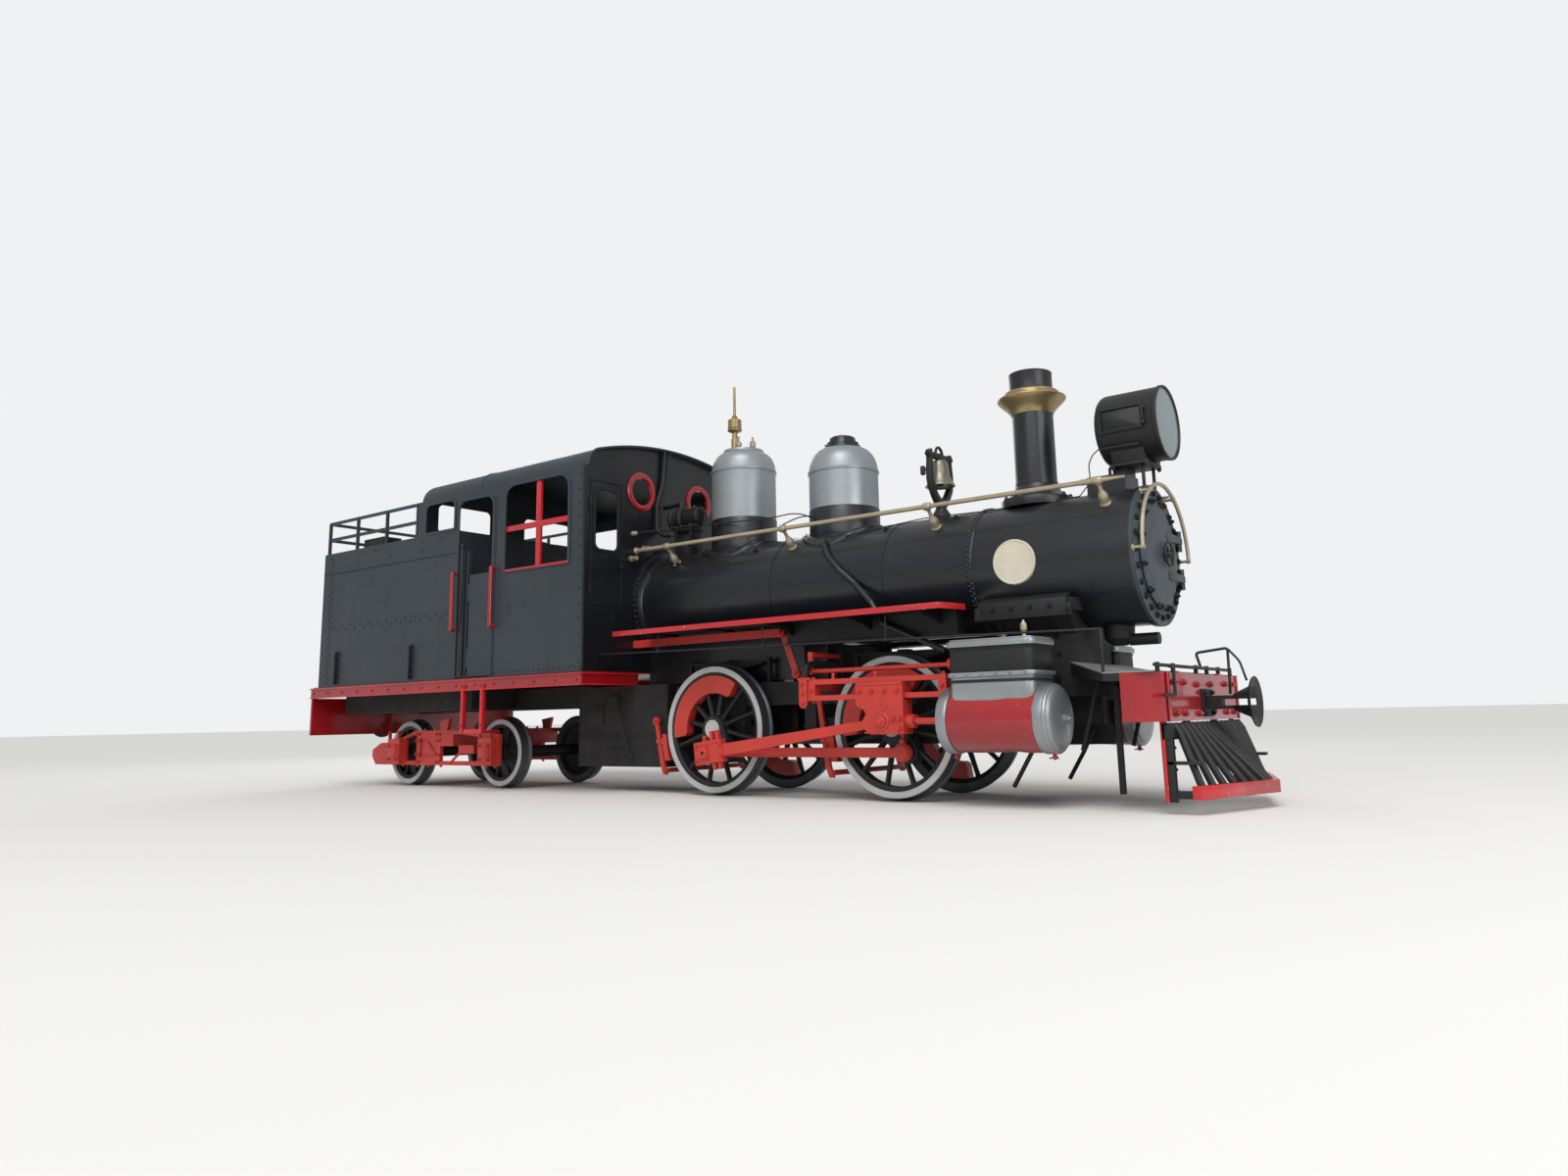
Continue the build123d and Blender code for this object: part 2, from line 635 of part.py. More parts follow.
# Leaf springs over the driving boxes
spring_parts = []
for x in (0, driver_base):
    for sign in (-1, 1):
        y = sign * (frame_y - frame_thick / 2)
        for leaf in range(5):
            half = 500 - leaf * 85
            z = 1150 - leaf * 16
            spring_parts.append(bar(x - half, x + half, y - 38, y + 38, z, z + 16))
        spring_parts.append(bar(x - 45, x + 45, y - 50, y + 50, frame_top_z, 1180))
        for end in (-1, 1):
            spring_parts.append(bar(x + end * 470 - 14, x + end * 470 + 14, y - 20, y + 20,
                                    frame_top_z, 1190))
keep("springs", joined(spring_parts))

# Brake hangers, shoes and cross beams behind each driving axle
brake_parts = []
for x, carrier_y, pivot_z in ((0, ashpan_y, 640), (driver_base, frame_y, 800)):
    tread = x - driver_radius
    for sign in (-1, 1):
        y = sign * 560
        hanger = [(tread - 200, pivot_z + 20), (tread - 160, pivot_z + 20), (tread - 70, 240),
                  (tread - 40, 150), (tread - 84, 150), (tread - 120, 240)]
        brake_parts.append(plate_xz(hanger, y - 14, y + 14))
        shoe = [(tread - 62, 520), (tread - 16, 520), (tread + 14, 330), (tread + 34, 280),
                (tread - 30, 280), (tread - 60, 400)]
        brake_parts.append(plate_xz([(px - 12, pz) for px, pz in shoe], y - 35, y + 35))
        brake_parts.append(bar(tread - 130, tread - 60, y - 20, y + 20, 430, 480))
        brake_parts.append(pin_y(tread - 180, pivot_z, 18, sign * carrier_y, sign * 580))
    brake_parts.append(pin_y(tread - 50, 190, 22, -580, 580))
keep("brake_rigging", joined(brake_parts))

# Boiler barrel, wide ring at the cab, and the firebox end inside the cab
boiler_bands = ((570, 4), (1750, 4))
barrel = pin_x(0, boiler_z, boiler_radius, cab_front_x, smokebox_rear_x)
barrel += pin_x(0, boiler_z, cab_ring_radius, cab_front_x, cab_front_x + cab_ring_length)
for x, proud in boiler_bands:
    barrel += pin_x(0, boiler_z, boiler_radius + proud, x - 30, x + 30)
firebox_half = boiler_radius - firebox_clearance - 1
front_cut = boiler_radius - firebox_clearance
barrel += pin_x(0, boiler_z, firebox_half, backhead_x, cab_front_x)
barrel += bar(backhead_x, cab_front_x, -firebox_half, firebox_half, sill_z + plate_thick, boiler_z)
barrel += bar(cab_front_x, firebox_front_x, -firebox_half_width, firebox_half_width, firebox_bottom_z,
              boiler_z)
keep("boiler", barrel)

# Smokebox with its front ring, and the saddle it stands on
shell = pin_x(0, boiler_z, smokebox_radius, smokebox_rear_x, smokebox_front_x)
shell += pin_x(0, boiler_z, smokebox_ring_radius, smokebox_front_x - smokebox_ring_length,
               smokebox_front_x)
shell -= pin_x(0, boiler_z, smokebox_radius - smokebox_wall, smokebox_rear_x + 400,
               smokebox_front_x - 30)
shell -= pin_x(0, boiler_z, door_radius - 25, smokebox_front_x - 40, smokebox_front_x + 5)
shell += bar(headlight_foot_x - 196, headlight_foot_x + 103, -150, 150, boiler_z + smokebox_radius - 40,
             headlight_foot_z)
hinge_y = door_radius + door_hinge_side
hinge_x = smokebox_front_x + door_hinge_out
for z in (boiler_z - 150, boiler_z + 150):
    for low, high in ((z - 80, z - 40.3), (z + 40.3, z + 80)):
        shell += pin_z(hinge_x, hinge_y, 24, low, high)
        shell += bar(smokebox_front_x - 20, hinge_x, hinge_y - 20, hinge_y + 20, low, high)
    shell += pin_z(hinge_x, hinge_y, 10, z - 60, z + 60)
keep("smokebox", shell)

saddle_rear_x = 2650
saddle_front_x = 3420
saddle = plate_yz([(-500, 1470), (-480, 1380), (-330, 1220), (-330, frame_top_z), (330, frame_top_z),
                   (330, 1220), (480, 1380), (500, 1470)], saddle_rear_x + 100, saddle_front_x - 60)
saddle += plate_yz([(-520, 1475), (-500, 1385), (500, 1385), (520, 1475)], saddle_rear_x, saddle_front_x)
saddle -= pin_x(0, boiler_z, smokebox_radius, saddle_rear_x - 10, saddle_front_x + 10)
keep("smokebox_saddle", saddle)

# Smokebox door: dished plate on two straps hinged at its left edge
door = [(smokebox_front_x + door_clearance, 0), (smokebox_front_x + door_clearance, door_radius),
        (smokebox_front_x + door_clearance + 14, door_radius)]
for i in range(1, 7):
    turn = pi / 2 * i / 6
    door.append((smokebox_front_x + door_clearance + 14 + door_crown * sin(turn),
                 door_radius * cos(turn)))
door = turned_x(door, 0, boiler_z)
for z in (boiler_z - 150, boiler_z + 150):
    door += bar(smokebox_front_x + 16, smokebox_front_x + 62, 120, hinge_y, z - 28, z + 28)
    door += pin_z(hinge_x, hinge_y, 24, z - 40, z + 40)
for z in (boiler_z - 150, boiler_z + 150):
    door -= pin_z(hinge_x, hinge_y, 11, z - 50, z + 50)
door += pin_x(0, boiler_z, 40, smokebox_front_x + 40, smokebox_front_x + 110)
keep("smokebox_door", door)

# Chimney: flanged base, straight tube, flared rim and inner cap
base_z = boiler_z + smokebox_radius
chimney = turned_z([(0, base_z - 40), (290, base_z - 40), (290, base_z + 25), (215, base_z + 60),
                    (stack_radius + 8, base_z + 130), (stack_radius, base_z + 150),
                    (stack_radius, stack_rim_z - 130), (stack_radius + 22, stack_rim_z - 72),
                    (stack_rim_radius - 30, stack_rim_z - 14), (stack_rim_radius, stack_rim_z),
                    (stack_rim_radius, stack_rim_z + 14), (stack_ring_radius, stack_rim_z + 26),
                    (stack_ring_radius, stack_rim_z + 58), (stack_radius + 10, stack_rim_z + 68),
                    (stack_radius + 10, stack_top_z - 4), (stack_radius - 30, stack_top_z),
                    (stack_radius - 30, stack_bore_z), (0, stack_bore_z)], stack_x, 0)
chimney -= pin_x(0, boiler_z, smokebox_radius, stack_x - 400, stack_x + 400)
keep("chimney", chimney)


# Domes: saddle flange and band on the boiler, drum, dished cap and what sits on it
def dome(x, radius, band_top, drum_top, cap_top, top_radius):
    band = radius + dome_band_thick
    profile = [(0, boiler_z + 380), (band, boiler_z + 380), (band, band_top), (radius, band_top + 6),
               (radius, drum_top), (radius + 8, drum_top + 4), (radius + 8, drum_top + 24)]
    for i in range(1, 6):
        turn = pi / 2 * i / 6
        profile.append((top_radius + (radius - top_radius) * cos(turn),
                        drum_top + 24 + (cap_top - drum_top - 24) * sin(turn)))
    profile += [(top_radius, cap_top), (0, cap_top)]
    foot = pin_z(x, 0, radius + dome_foot_out, boiler_z + 300, boiler_z + boiler_radius + 60)
    foot &= pin_x(0, boiler_z, boiler_radius + dome_foot_thick, x - 500, x + 500)
    body = turned_z(profile, x, 0) + foot
    return body - pin_x(0, boiler_z, boiler_radius, x - 500, x + 500)


steam_dome = dome(steam_dome_x, steam_dome_radius, steam_dome_top_z - 675, steam_dome_top_z - 209,
                  steam_dome_top_z, 190)
valve_seat_z = steam_dome_top_z + 30
steam_dome += pin_z(steam_dome_x, 0, 200, steam_dome_top_z - 5, valve_seat_z)
whistle_x = steam_dome_x - 110
steam_dome += pin_z(whistle_x, 0, 22, valve_seat_z - 5, whistle_bowl_z + 10)
steam_dome += pin_z(whistle_x, 0, 70, whistle_bowl_z, whistle_bowl_z + 110)
steam_dome += pin_z(whistle_x, 0, 14, whistle_bowl_z + 100, whistle_top_z)
for x, y in ((steam_dome_x - 10, -60), (steam_dome_x + 70, 60)):
    steam_dome += pin_z(x, y, 26, valve_seat_z - 5, valve_seat_z + 85)
    steam_dome += pin_z(x, y, 14, valve_seat_z + 75, valve_seat_z + 145)
keep("steam_dome", steam_dome)
sand_dome = dome(sand_dome_x, sand_dome_radius, sand_dome_top_z - 580, sand_dome_top_z - 248,
                 sand_dome_top_z, 150)
sand_dome += pin_z(sand_dome_x, 0, 150, sand_dome_top_z - 20, sand_dome_top_z + 50)
sand_dome += pin_z(sand_dome_x, 0, 120, sand_dome_top_z + 40, sand_dome_top_z + 110)
keep("sand_dome", sand_dome)
sand_pipe_radius = 26
pipe_ring = boiler_radius + sand_pipe_radius + 12
pipe_points = []
for turn, x in ((38, 1100), (52, 1145), (66, 1235), (80, 1365), (94, 1525)):
    pipe_points.append((x, -pipe_ring * sin(radians(turn)), boiler_z + pipe_ring * cos(radians(turn))))
pipe_points += [(1725, -600, 1560), (1845, -620, 1380), (2415, -640, 1130)]
pipe = tube_run(pipe_points, sand_pipe_radius)
pipe -= pin_z(sand_dome_x, 0, sand_dome_radius + dome_foot_out + 0.3, 2000, 2600)
board_slot = bar(1720, 1860, -572, -664, board_top_z - 20, board_top_z + 5)
keep("sand_pipes", Compound(children=[pipe, to_left(pipe)]))

# Bell and its yoke
bell_foot_z = boiler_z + boiler_radius
yoke_y = 150
yoke = pin_z(bell_x, 0, 75, bell_foot_z - 40, bell_foot_z + 30)
lyre = [(60, bell_foot_z + 10), (78, bell_pivot_z - 440), (92, bell_pivot_z - 370),
        (150, bell_pivot_z - 310), (192, bell_pivot_z - 235), (194, bell_pivot_z - 150),
        (182, bell_pivot_z - 60), (180, bell_pivot_z + 60), (yoke_y + 2, bell_pivot_z + 60),
        (yoke_y + 2, bell_pivot_z - 160), (yoke_y + 8, bell_pivot_z - 220), (120, bell_pivot_z - 290),
        (60, bell_pivot_z - 325)]
lyre += [(-y, z) for y, z in reversed(lyre)]
yoke += plate_yz(lyre, bell_x - 28, bell_x + 28)
for sign in (-1, 1):
    yoke -= pin_y(bell_x, bell_pivot_z, 15, sign * (yoke_y - 10), sign * (yoke_y + 45))
yoke += pin_z(bell_x - 60, -yoke_y - 30, 14, bell_pivot_z - 180, bell_pivot_z - 100)
yoke += bar(bell_x - 74, bell_x - 20, -yoke_y - 44, -yoke_y - 16, bell_pivot_z - 160, bell_pivot_z - 120)
yoke -= pin_x(0, boiler_z, boiler_radius, bell_x - 200, bell_x + 200)
keep("bell_yoke", yoke)
bell = turned_z([(0, bell_pivot_z - 30), (45, bell_pivot_z - 32), (75, bell_pivot_z - 60),
                 (84, bell_pivot_z - 150), (104, bell_pivot_z - 215), (130, bell_pivot_z - 262),
                 (120, bell_pivot_z - 262), (92, bell_pivot_z - 210), (70, bell_pivot_z - 140),
                 (58, bell_pivot_z - 70), (0, bell_pivot_z - 60)], bell_x, 0)
bell += pin_z(bell_x, 0, 10, bell_pivot_z - 230, bell_pivot_z - 50)
bell += Pos(bell_x, 0, bell_pivot_z - 240) * Sphere(26)
bell += bar(bell_x - 24, bell_x + 24, -yoke_y + 12, yoke_y - 12, bell_pivot_z - 34, bell_pivot_z + 26)
bell += pin_y(bell_x, bell_pivot_z, 14, -yoke_y - 24, yoke_y + 24)
keep("bell", bell)

# Headlight: drum with a glazed front on a pedestal
lamp = pin_x(0, headlight_z, headlight_radius - 10, headlight_rear_x, headlight_front_x - 60)
lamp += pin_x(0, headlight_z, headlight_radius, headlight_front_x - 70, headlight_front_x)
lamp -= pin_x(0, headlight_z, headlight_radius - 26, headlight_front_x - 20, headlight_front_x + 5)
lamp += bar(headlight_foot_x + 20, headlight_foot_x + 285, -170, 170, headlight_z - headlight_radius - 20,
            headlight_z - headlight_radius + 60)
lamp += bar(headlight_foot_x, headlight_foot_x + 100, -110, 110, headlight_foot_z,
            headlight_z - headlight_radius)
keep("headlight", lamp)

# Small turbine generator beside the steam dome
gen = pin_x(-150, generator_z, 120, generator_x - 190, generator_x + 10)
gen += pin_x(-150, generator_z, 90, generator_x, generator_x + 190)
gen += bar(generator_x - 110, generator_x + 110, -240, -60, boiler_z + 380, generator_z - 70)
gen -= pin_x(0, boiler_z, boiler_radius, generator_x - 400, generator_x + 400)
keep("turbo_generator", gen)

# Handrails along the boiler and over the smokebox front
bracket_x = (-668, 750, 2226, smokebox_front_x - 233)
foot_y = rail_y * rail_post_root
foot_z = boiler_z + (rail_z - boiler_z) * rail_post_root
rails = []
for sign in (-1, 1):
    rail = pin_x(sign * rail_y, rail_z, 19, cab_front_x, smokebox_front_x - 30)
    for x in bracket_x:
        foot_radius = smokebox_radius if x > smokebox_rear_x else boiler_radius
        rail += Pos(x, sign * rail_y, rail_z) * Sphere(30)
        foot = strut((x, sign * foot_y, foot_z), (x, sign * rail_y, rail_z), 15)
        rail += foot - pin_x(0, boiler_z, foot_radius, x - 40, x + 40)
    rails.append(rail)
arch = Pos(smokebox_front_x + arch_out, 0, boiler_z) * Rot(0, 90, 0) * Torus(arch_radius, arch_tube)
arch &= bar(smokebox_front_x, smokebox_front_x + arch_out + 40, -smokebox_radius - 60, smokebox_radius + 60,
            boiler_z, boiler_z + smokebox_radius + 60)
for turn in (0, 60, 120, 180):
    post_y = (arch_radius - 6) * cos(radians(turn))
    post_z = boiler_z + (arch_radius - 6) * sin(radians(turn))
    arch += pin_x(post_y, post_z, 11, smokebox_front_x, smokebox_front_x + arch_out)
rails.append(arch)
keep("handrails", Compound(children=rails))

# Cab: front, sides, rear, roof and floor from thick plate
def cab_section(inset):
    rise = roof_crown_z - eaves_z
    across = cab_half_width - eaves_radius
    roof_radius = (across**2 + rise**2 - eaves_radius**2) / (2 * (rise - eaves_radius))
    turn = atan2(rise - roof_radius, across)
    half = cab_half_width - inset
    small = eaves_radius - inset
    large = roof_radius - inset
    start = -turn
    middle = roof_crown_z - roof_radius
    meet = (large * sin(pi / 2 - start), middle + large * cos(pi / 2 - start))
    halfway = start / 2
    corner = (across + small * cos(halfway), eaves_z + small * sin(halfway))
    crown = (0, middle + large)
    right_arc = ThreePointArc((0, -half, eaves_z), (0, -corner[0], corner[1]), (0, -meet[0], meet[1]))
    roof_arc = ThreePointArc((0, -meet[0], meet[1]), (0, *crown), (0, *meet))
    left_arc = ThreePointArc((0, *meet), (0, *corner), (0, half, eaves_z))
    rest = Line((0, half, eaves_z), (0, -half, eaves_z))
    top = make_face([*right_arc.edges(), *roof_arc.edges(), *left_arc.edges(), *rest.edges()])
    return top


def cab_slab(inset, low_z, low_half, x0, x1):
    slab = Pos(min(x0, x1), 0, 0) * extrude(cab_section(inset), abs(x1 - x0), dir=(1, 0, 0))
    if low_z < eaves_z:
        slab += bar(x0, x1, -low_half, low_half, low_z, eaves_z)
    return slab


front = cab_slab(roof_thick, sill_z, cab_half_width, cab_front_x - plate_thick, cab_front_x)
for sign in (-1, 1):
    front -= pin_x(sign * porthole_y, porthole_z, porthole_radius, cab_front_x - 20, cab_front_x + 5)
    pane = bar(cab_front_x - 20, cab_front_x + 5, sign * 755, sign * 1045, 2280, 2860)
    front -= fillet(pane.edges().filter_by(Axis.X), 60)
front -= pin_x(0, boiler_z, front_cut, cab_front_x - 20, cab_front_x + 5)
front -= bar(cab_front_x - 20, cab_front_x + 5, -front_cut, front_cut, sill_z + plate_thick, boiler_z)
keep("cab_front", front)

side_y = cab_half_width
side_inner = cab_half_width - plate_thick
wall_top = eaves_z
wall = bar(cab_rear_x, cab_front_x - plate_thick, -side_inner, -side_y, sill_z, wall_top)
wall -= bar(cab_rear_x - 5, bunker_front_x + 2, -side_inner + 5, -side_y - 5, sill_z - 5, bunker_top_z + 1)
window = bar(window_rear_x, window_front_x, -side_inner + 5, -side_y - 5, window_bottom_z, window_top_z)
corners = window.edges().filter_by(Axis.Y).sort_by(Axis.Z)[-2:]
wall -= fillet(corners, 130)
doorway = bar(bunker_front_x + 2, doorway_front_x, -side_inner + 5, -side_y - 5, sill_z - 5, doorway_top_z)
corners = doorway.edges().filter_by(Axis.Y).sort_by(Axis.Z)[-2:]
wall -= fillet(corners, 110)
opening = bar(-3586, -3085, -side_inner + 5, -side_y - 5, 2700, 3000)
wall -= fillet(opening.edges().filter_by(Axis.Y).sort_by(Axis.Z)[-2:], 70)
keep("cab_side_right", wall)
keep("cab_side_left", to_left(wall))

def roof_lid(inset, roll):
    lid = Pos(roof_rear_x + inset, 0, 0) * extrude(cab_section(inset), roof_front_x - roof_rear_x + 10,
                                                   dir=(1, 0, 0))
    back = lid.faces().sort_by(Axis.X)[0]
    return fillet(back.edges().sort_by(Axis.Z)[1:], roll)


def under_roof(depth):
    return bar(roof_rear_x + roof_thick, roof_front_x + 10, -side_inner, side_inner, depth, eaves_z)


roof_inside = roof_lid(roof_thick, roof_rear_roll - roof_thick)
rear = cab_slab(roof_thick, bunker_top_z + 1, side_inner, cab_rear_x, cab_rear_x + plate_thick)
rear &= roof_inside + under_roof(bunker_top_z)
for sign in (-1, 1):
    pane = bar(cab_rear_x - 5, cab_rear_x + 20, sign * 250, sign * 950, 2760, 3080)
    rear -= fillet(pane.edges().filter_by(Axis.X), 60)
keep("cab_rear", rear)

roof = roof_lid(0, roof_rear_roll) - roof_inside
roof -= bar(roof_front_x, roof_front_x + 20, -cab_half_width - 5, cab_half_width + 5, eaves_z - 5,
            roof_crown_z + 5)
roof -= bar(roof_rear_x - 5, cab_rear_x, -side_inner, side_inner, eaves_z - 5, roof_rear_bottom_z)
keep("cab_roof", roof)

floor = bar(bunker_front_x + 2, cab_front_x - plate_thick - 1, -side_inner + 1, side_inner - 1, sill_z,
            sill_z + plate_thick)
floor -= bar(backhead_x - 3, cab_front_x, -front_cut - 2, front_cut + 2, sill_z - 5, sill_z + plate_thick + 5)
keep("cab_floor", floor)

# Half doors on pins carried by the post at the bunker's front edge
hinge_axis_x = door_rear_x + 10
hinge_axis_y = -side_inner + 6
knuckle_radius = 12
knuckle_half = 50
knuckle_gap = 0.3
hinge_heights = (sill_z + 200, door_top_z - 180)
leaf_x = hinge_axis_x + 18
door = bar(leaf_x, door_front_x, -side_inner - 6, -side_inner, sill_z + plate_thick + 12, door_top_z)
for z in hinge_heights:
    door += pin_z(hinge_axis_x, hinge_axis_y, knuckle_radius, z - knuckle_half, z + knuckle_half)
    door += bar(hinge_axis_x, leaf_x + 60, -side_inner - 6, -side_inner, z - knuckle_half, z + knuckle_half)
for z in hinge_heights:
    door -= pin_z(hinge_axis_x, hinge_axis_y, 6.5, z - knuckle_half - 5, z + knuckle_half + 5)
keep("cab_door_right", door)
keep("cab_door_left", to_left(door))

# Bunker: tank with the coal pit open on top, and the fence round it
tank = bar(bunker_rear_x, bunker_front_x, -cab_half_width, cab_half_width, sill_z, bunker_top_z)
tank -= bar(bunker_rear_x + 300, bunker_front_x - 12, -850, 850, 1800, bunker_top_z + 10)
post = bar(bunker_front_x, door_rear_x - 10, -side_inner, -side_inner + 42, sill_z + plate_thick + 1, 2430)
for z in hinge_heights:
    for end in (-1, 1):
        low = z + end * (knuckle_half + knuckle_gap)
        high = z + end * (knuckle_half + 40)
        post += pin_z(hinge_axis_x, hinge_axis_y, knuckle_radius, min(low, high), max(low, high))
        post += bar(door_rear_x - 10, hinge_axis_x, hinge_axis_y - 4, hinge_axis_y + 8, low, high)
    post += pin_z(hinge_axis_x, hinge_axis_y, 6, z - knuckle_half - 10, z + knuckle_half + 10)
tank = joined([tank, post, to_left(post)])
keep("bunker", tank)
fence = []
rear_post_x = bunker_rear_x + 40
fence_front_x = cab_rear_x - 20
for sign in (-1, 1):
    y = sign * (cab_half_width - 30)
    for z in (fence_top_z, bunker_top_z + 190):
        fence.append(bar(rear_post_x - 15, fence_front_x, y - 8, y + 8, z - 18, z + 18))
    for i in range(4):
        x = rear_post_x + (fence_front_x - 30 - rear_post_x) * i / 3
        fence.append(bar(x - 15, x + 15, y - 15, y + 15, bunker_top_z, fence_top_z))
for z in (fence_top_z, bunker_top_z + 190):
    fence.append(bar(rear_post_x - 8, rear_post_x + 8, -cab_half_width + 30, cab_half_width - 30,
                     z - 18, z + 18))
fence.append(bar(rear_post_x - 15, rear_post_x + 15, -15, 15, bunker_top_z, fence_top_z))
keep("bunker_fence", joined(fence))

# Red edge channel round the footplate, with steps
edge = bar(skirt_rear_x, cab_front_x + 15, -cab_half_width - 8, -cab_half_width + 30, skirt_bottom_z,
           skirt_top_z)
edge += bar(cab_front_x - 15, cab_front_x + 15, -cab_half_width, -476, skirt_bottom_z, skirt_top_z)
edge += bar(skirt_rear_x, cab_front_x, -cab_half_width + 20, 0, skirt_top_z, sill_z)
for x in (-2820, -2510):
    edge += bar(x - 15, x + 15, -cab_half_width + 4, -cab_half_width + 16, 560, skirt_bottom_z + 20)
edge += bar(-2835, -2495, -cab_half_width - 16, -cab_half_width + 200, 560, 585)
keep("footplate", joined([edge, to_left(edge)]))

grab = []
for sign in (-1, 1):
    for x in (-3015, -2380):
        y = sign * (cab_half_width + 55)
        grab.append(tube_run([(x, sign * cab_half_width, 2200), (x, y, 2200), (x, y, 1615),
                              (x, sign * cab_half_width, 1615)], 19))
keep("grab_rails", Compound(children=grab))

# Running boards with their rim, and the long locker below
board = plate_xy([(board_rear_x, -board_inner_y), (board_front_x - board_tip_reach, -board_inner_y),
                  (board_front_x - board_tip_reach, -530),
                  (board_front_x + board_tip_reach, -board_tip_y), (board_front_x, -board_y),
                  (board_rear_x, -board_y)], board_top_z - 12, board_top_z)
rim = plate_xy([(board_rear_x, -board_y + 10), (board_front_x - 8, -board_y + 10),
                (board_front_x + board_tip_reach - 10, -board_tip_y),
                (board_front_x + board_tip_reach, -board_tip_y), (board_front_x, -board_y),
                (board_rear_x, -board_y)], board_top_z - board_edge, board_top_z)
locker = bar(locker_rear_x, locker_front_x, -440, -locker_outer_y, locker_bottom_z, board_top_z - 12)
board = joined([board, rim, locker])
board -= pin_x(0, boiler_z, smokebox_radius + 1, board_rear_x - 10, board_front_x + 100)
board -= board_slot
keep("running_board_right", board)
keep("running_board_left", to_left(board))

# Reach rod, its arm, and the valve rods
gear = []
for sign in (-1, 1):
    rod = pin_x(sign * 800, 1015, 18, 1245, chest_rear_x)
    rod += pin_x(sign * 800, 1015, 45, chest_rear_x - 110, chest_rear_x)
    rod += bar(1225, 1265, sign * 786, sign * 814, 990, 1175)
    rod += pin_y(1245, 1150, 24, sign * frame_y, sign * 814)
    gear.append(rod)
keep("valve_rods", Compound(children=gear))
reach_top_z = reach_bottom_z + reach_depth
reach_middle_z = reach_bottom_z + reach_depth / 2
reach_outer_y = reach_y + reach_thick
reach_rod = bar(cab_front_x, reach_pin_x, -reach_y, -reach_outer_y, reach_bottom_z, reach_top_z)
reach_rod += pin_y(reach_pin_x, reach_middle_z, reach_depth / 2 + 6, -reach_y, -reach_outer_y - 8)
reach_rod += plate_xz([(reach_pin_x - 34, reach_middle_z), (reach_pin_x + 34, reach_middle_z),
                       (weighbar_x + 34, weighbar_z), (weighbar_x - 34, weighbar_z)],
                      -reach_y + 16, -reach_y)
reach_rod += pin_y(weighbar_x, weighbar_z, 40, -reach_y + 24, -reach_y - 10)
reach_rod += pin_y(weighbar_x, weighbar_z, 26, -frame_y, -reach_y)
reach_rod += bar(weighbar_x - 25, weighbar_x + 25, -frame_y, -frame_y + 30, frame_top_z, weighbar_z + 45)
keep("reach_rod", reach_rod)

# Front end: deck, buffer beam, coupler, lever, pilot
deck = bar(deck_knee_x, beam_back_x - 0.3, -deck_half_width, deck_half_width, beam_top_z,
           beam_top_z + deck_thick)
ramp = plate_xz([(deck_knee_x, beam_top_z), (deck_knee_x, beam_top_z + deck_thick),
                 (deck_rear_x, beam_top_z + deck_rise + deck_thick), (deck_rear_x, beam_top_z + deck_rise)],
                -deck_half_width, deck_half_width)
ramp &= plate_xy([(deck_knee_x, -deck_half_width), (deck_knee_x, deck_half_width),
                  (deck_rear_x, deck_rear_half), (deck_rear_x, -deck_rear_half)],
                 beam_top_z - 5, beam_top_z + deck_rise + deck_thick + 5)
deck += ramp
keep("front_deck", deck)
corner_x = beam_front_x - beam_corner
corner_y = beam_half_width - beam_corner
beam = bar(beam_front_x - beam_plate, beam_front_x, -corner_y, corner_y,
           beam_bottom_z, beam_top_z)
for sign in (-1, 1):
    beam += bar(beam_front_x - beam_depth, corner_x, sign * beam_half_width,
                sign * (beam_half_width - beam_plate), beam_bottom_z, beam_top_z)
    corner = pin_z(corner_x, sign * corner_y, beam_corner, beam_bottom_z, beam_top_z)
    corner -= pin_z(corner_x, sign * corner_y, beam_corner - beam_plate, beam_bottom_z - 5, beam_top_z + 5)
    quarter = bar(corner_x, beam_front_x + 5, sign * corner_y, sign * (beam_half_width + 5),
                  beam_bottom_z - 5, beam_top_z + 5)
    beam += corner & quarter
beam += bar(frame_front_x, beam_back_x, -frame_y, frame_y, 600, frame_drop_z)
keep("buffer_beam", beam)


def bell_mouth_coupler(reach):
    body = bar(0, reach - 90, -45, 45, coupler_z - 48, coupler_z + 48)
    body += turned_x([(reach - 150, 0), (reach - 150, 60), (reach - 40, 110), (reach - 12, 172),
                      (reach, 172), (reach - 20, 110), (reach - 70, 58), (reach - 70, 0)], 0, coupler_z)
    slot = bar(coupler_pin_set - 50, reach + 10, -200, 200, coupler_z - 22, coupler_z + 22)
    slot &= bar(coupler_pin_set - 50, reach - 30, -200, 200, coupler_z - 22, coupler_z + 22)
    body -= slot
    return body - pin_z(coupler_pin_set, 0, coupler_pin_radius, coupler_z - 60, coupler_z + 60)


coupler = Pos(beam_front_x, 0, 0) * bell_mouth_coupler(coupler_front_x - beam_front_x)
keep("front_coupler", coupler)

pilot = []
bar_top = 160
top_plate_back = pilot_top_x - 40
for sign in (-1, 1):
    pilot.append(plate_xy([(pilot_apex_x, 0), (pilot_corner_x, sign * pilot_corner_y),
                           (pilot_corner_x - 60, sign * pilot_corner_y), (pilot_apex_x - 70, 0)],
                          pilot_bottom_z, bar_top))
    pilot.append(bar(beam_back_x - 40, beam_back_x, sign * (pilot_top_y - 60), sign * pilot_top_y,
                     52, beam_bottom_z + 60))
    pilot.append(bar(beam_back_x - 20, pilot_corner_x, sign * (pilot_top_y - 50),
                     sign * (pilot_top_y - 10), pilot_bottom_z, pilot_bottom_z + 50))
    pilot.append(bar(beam_back_x - 40, beam_back_x, sign * 300, sign * 360, 470, 598))
pilot.append(bar(beam_back_x - 30, pilot_top_x, -pilot_top_y, pilot_top_y, 450, 556))
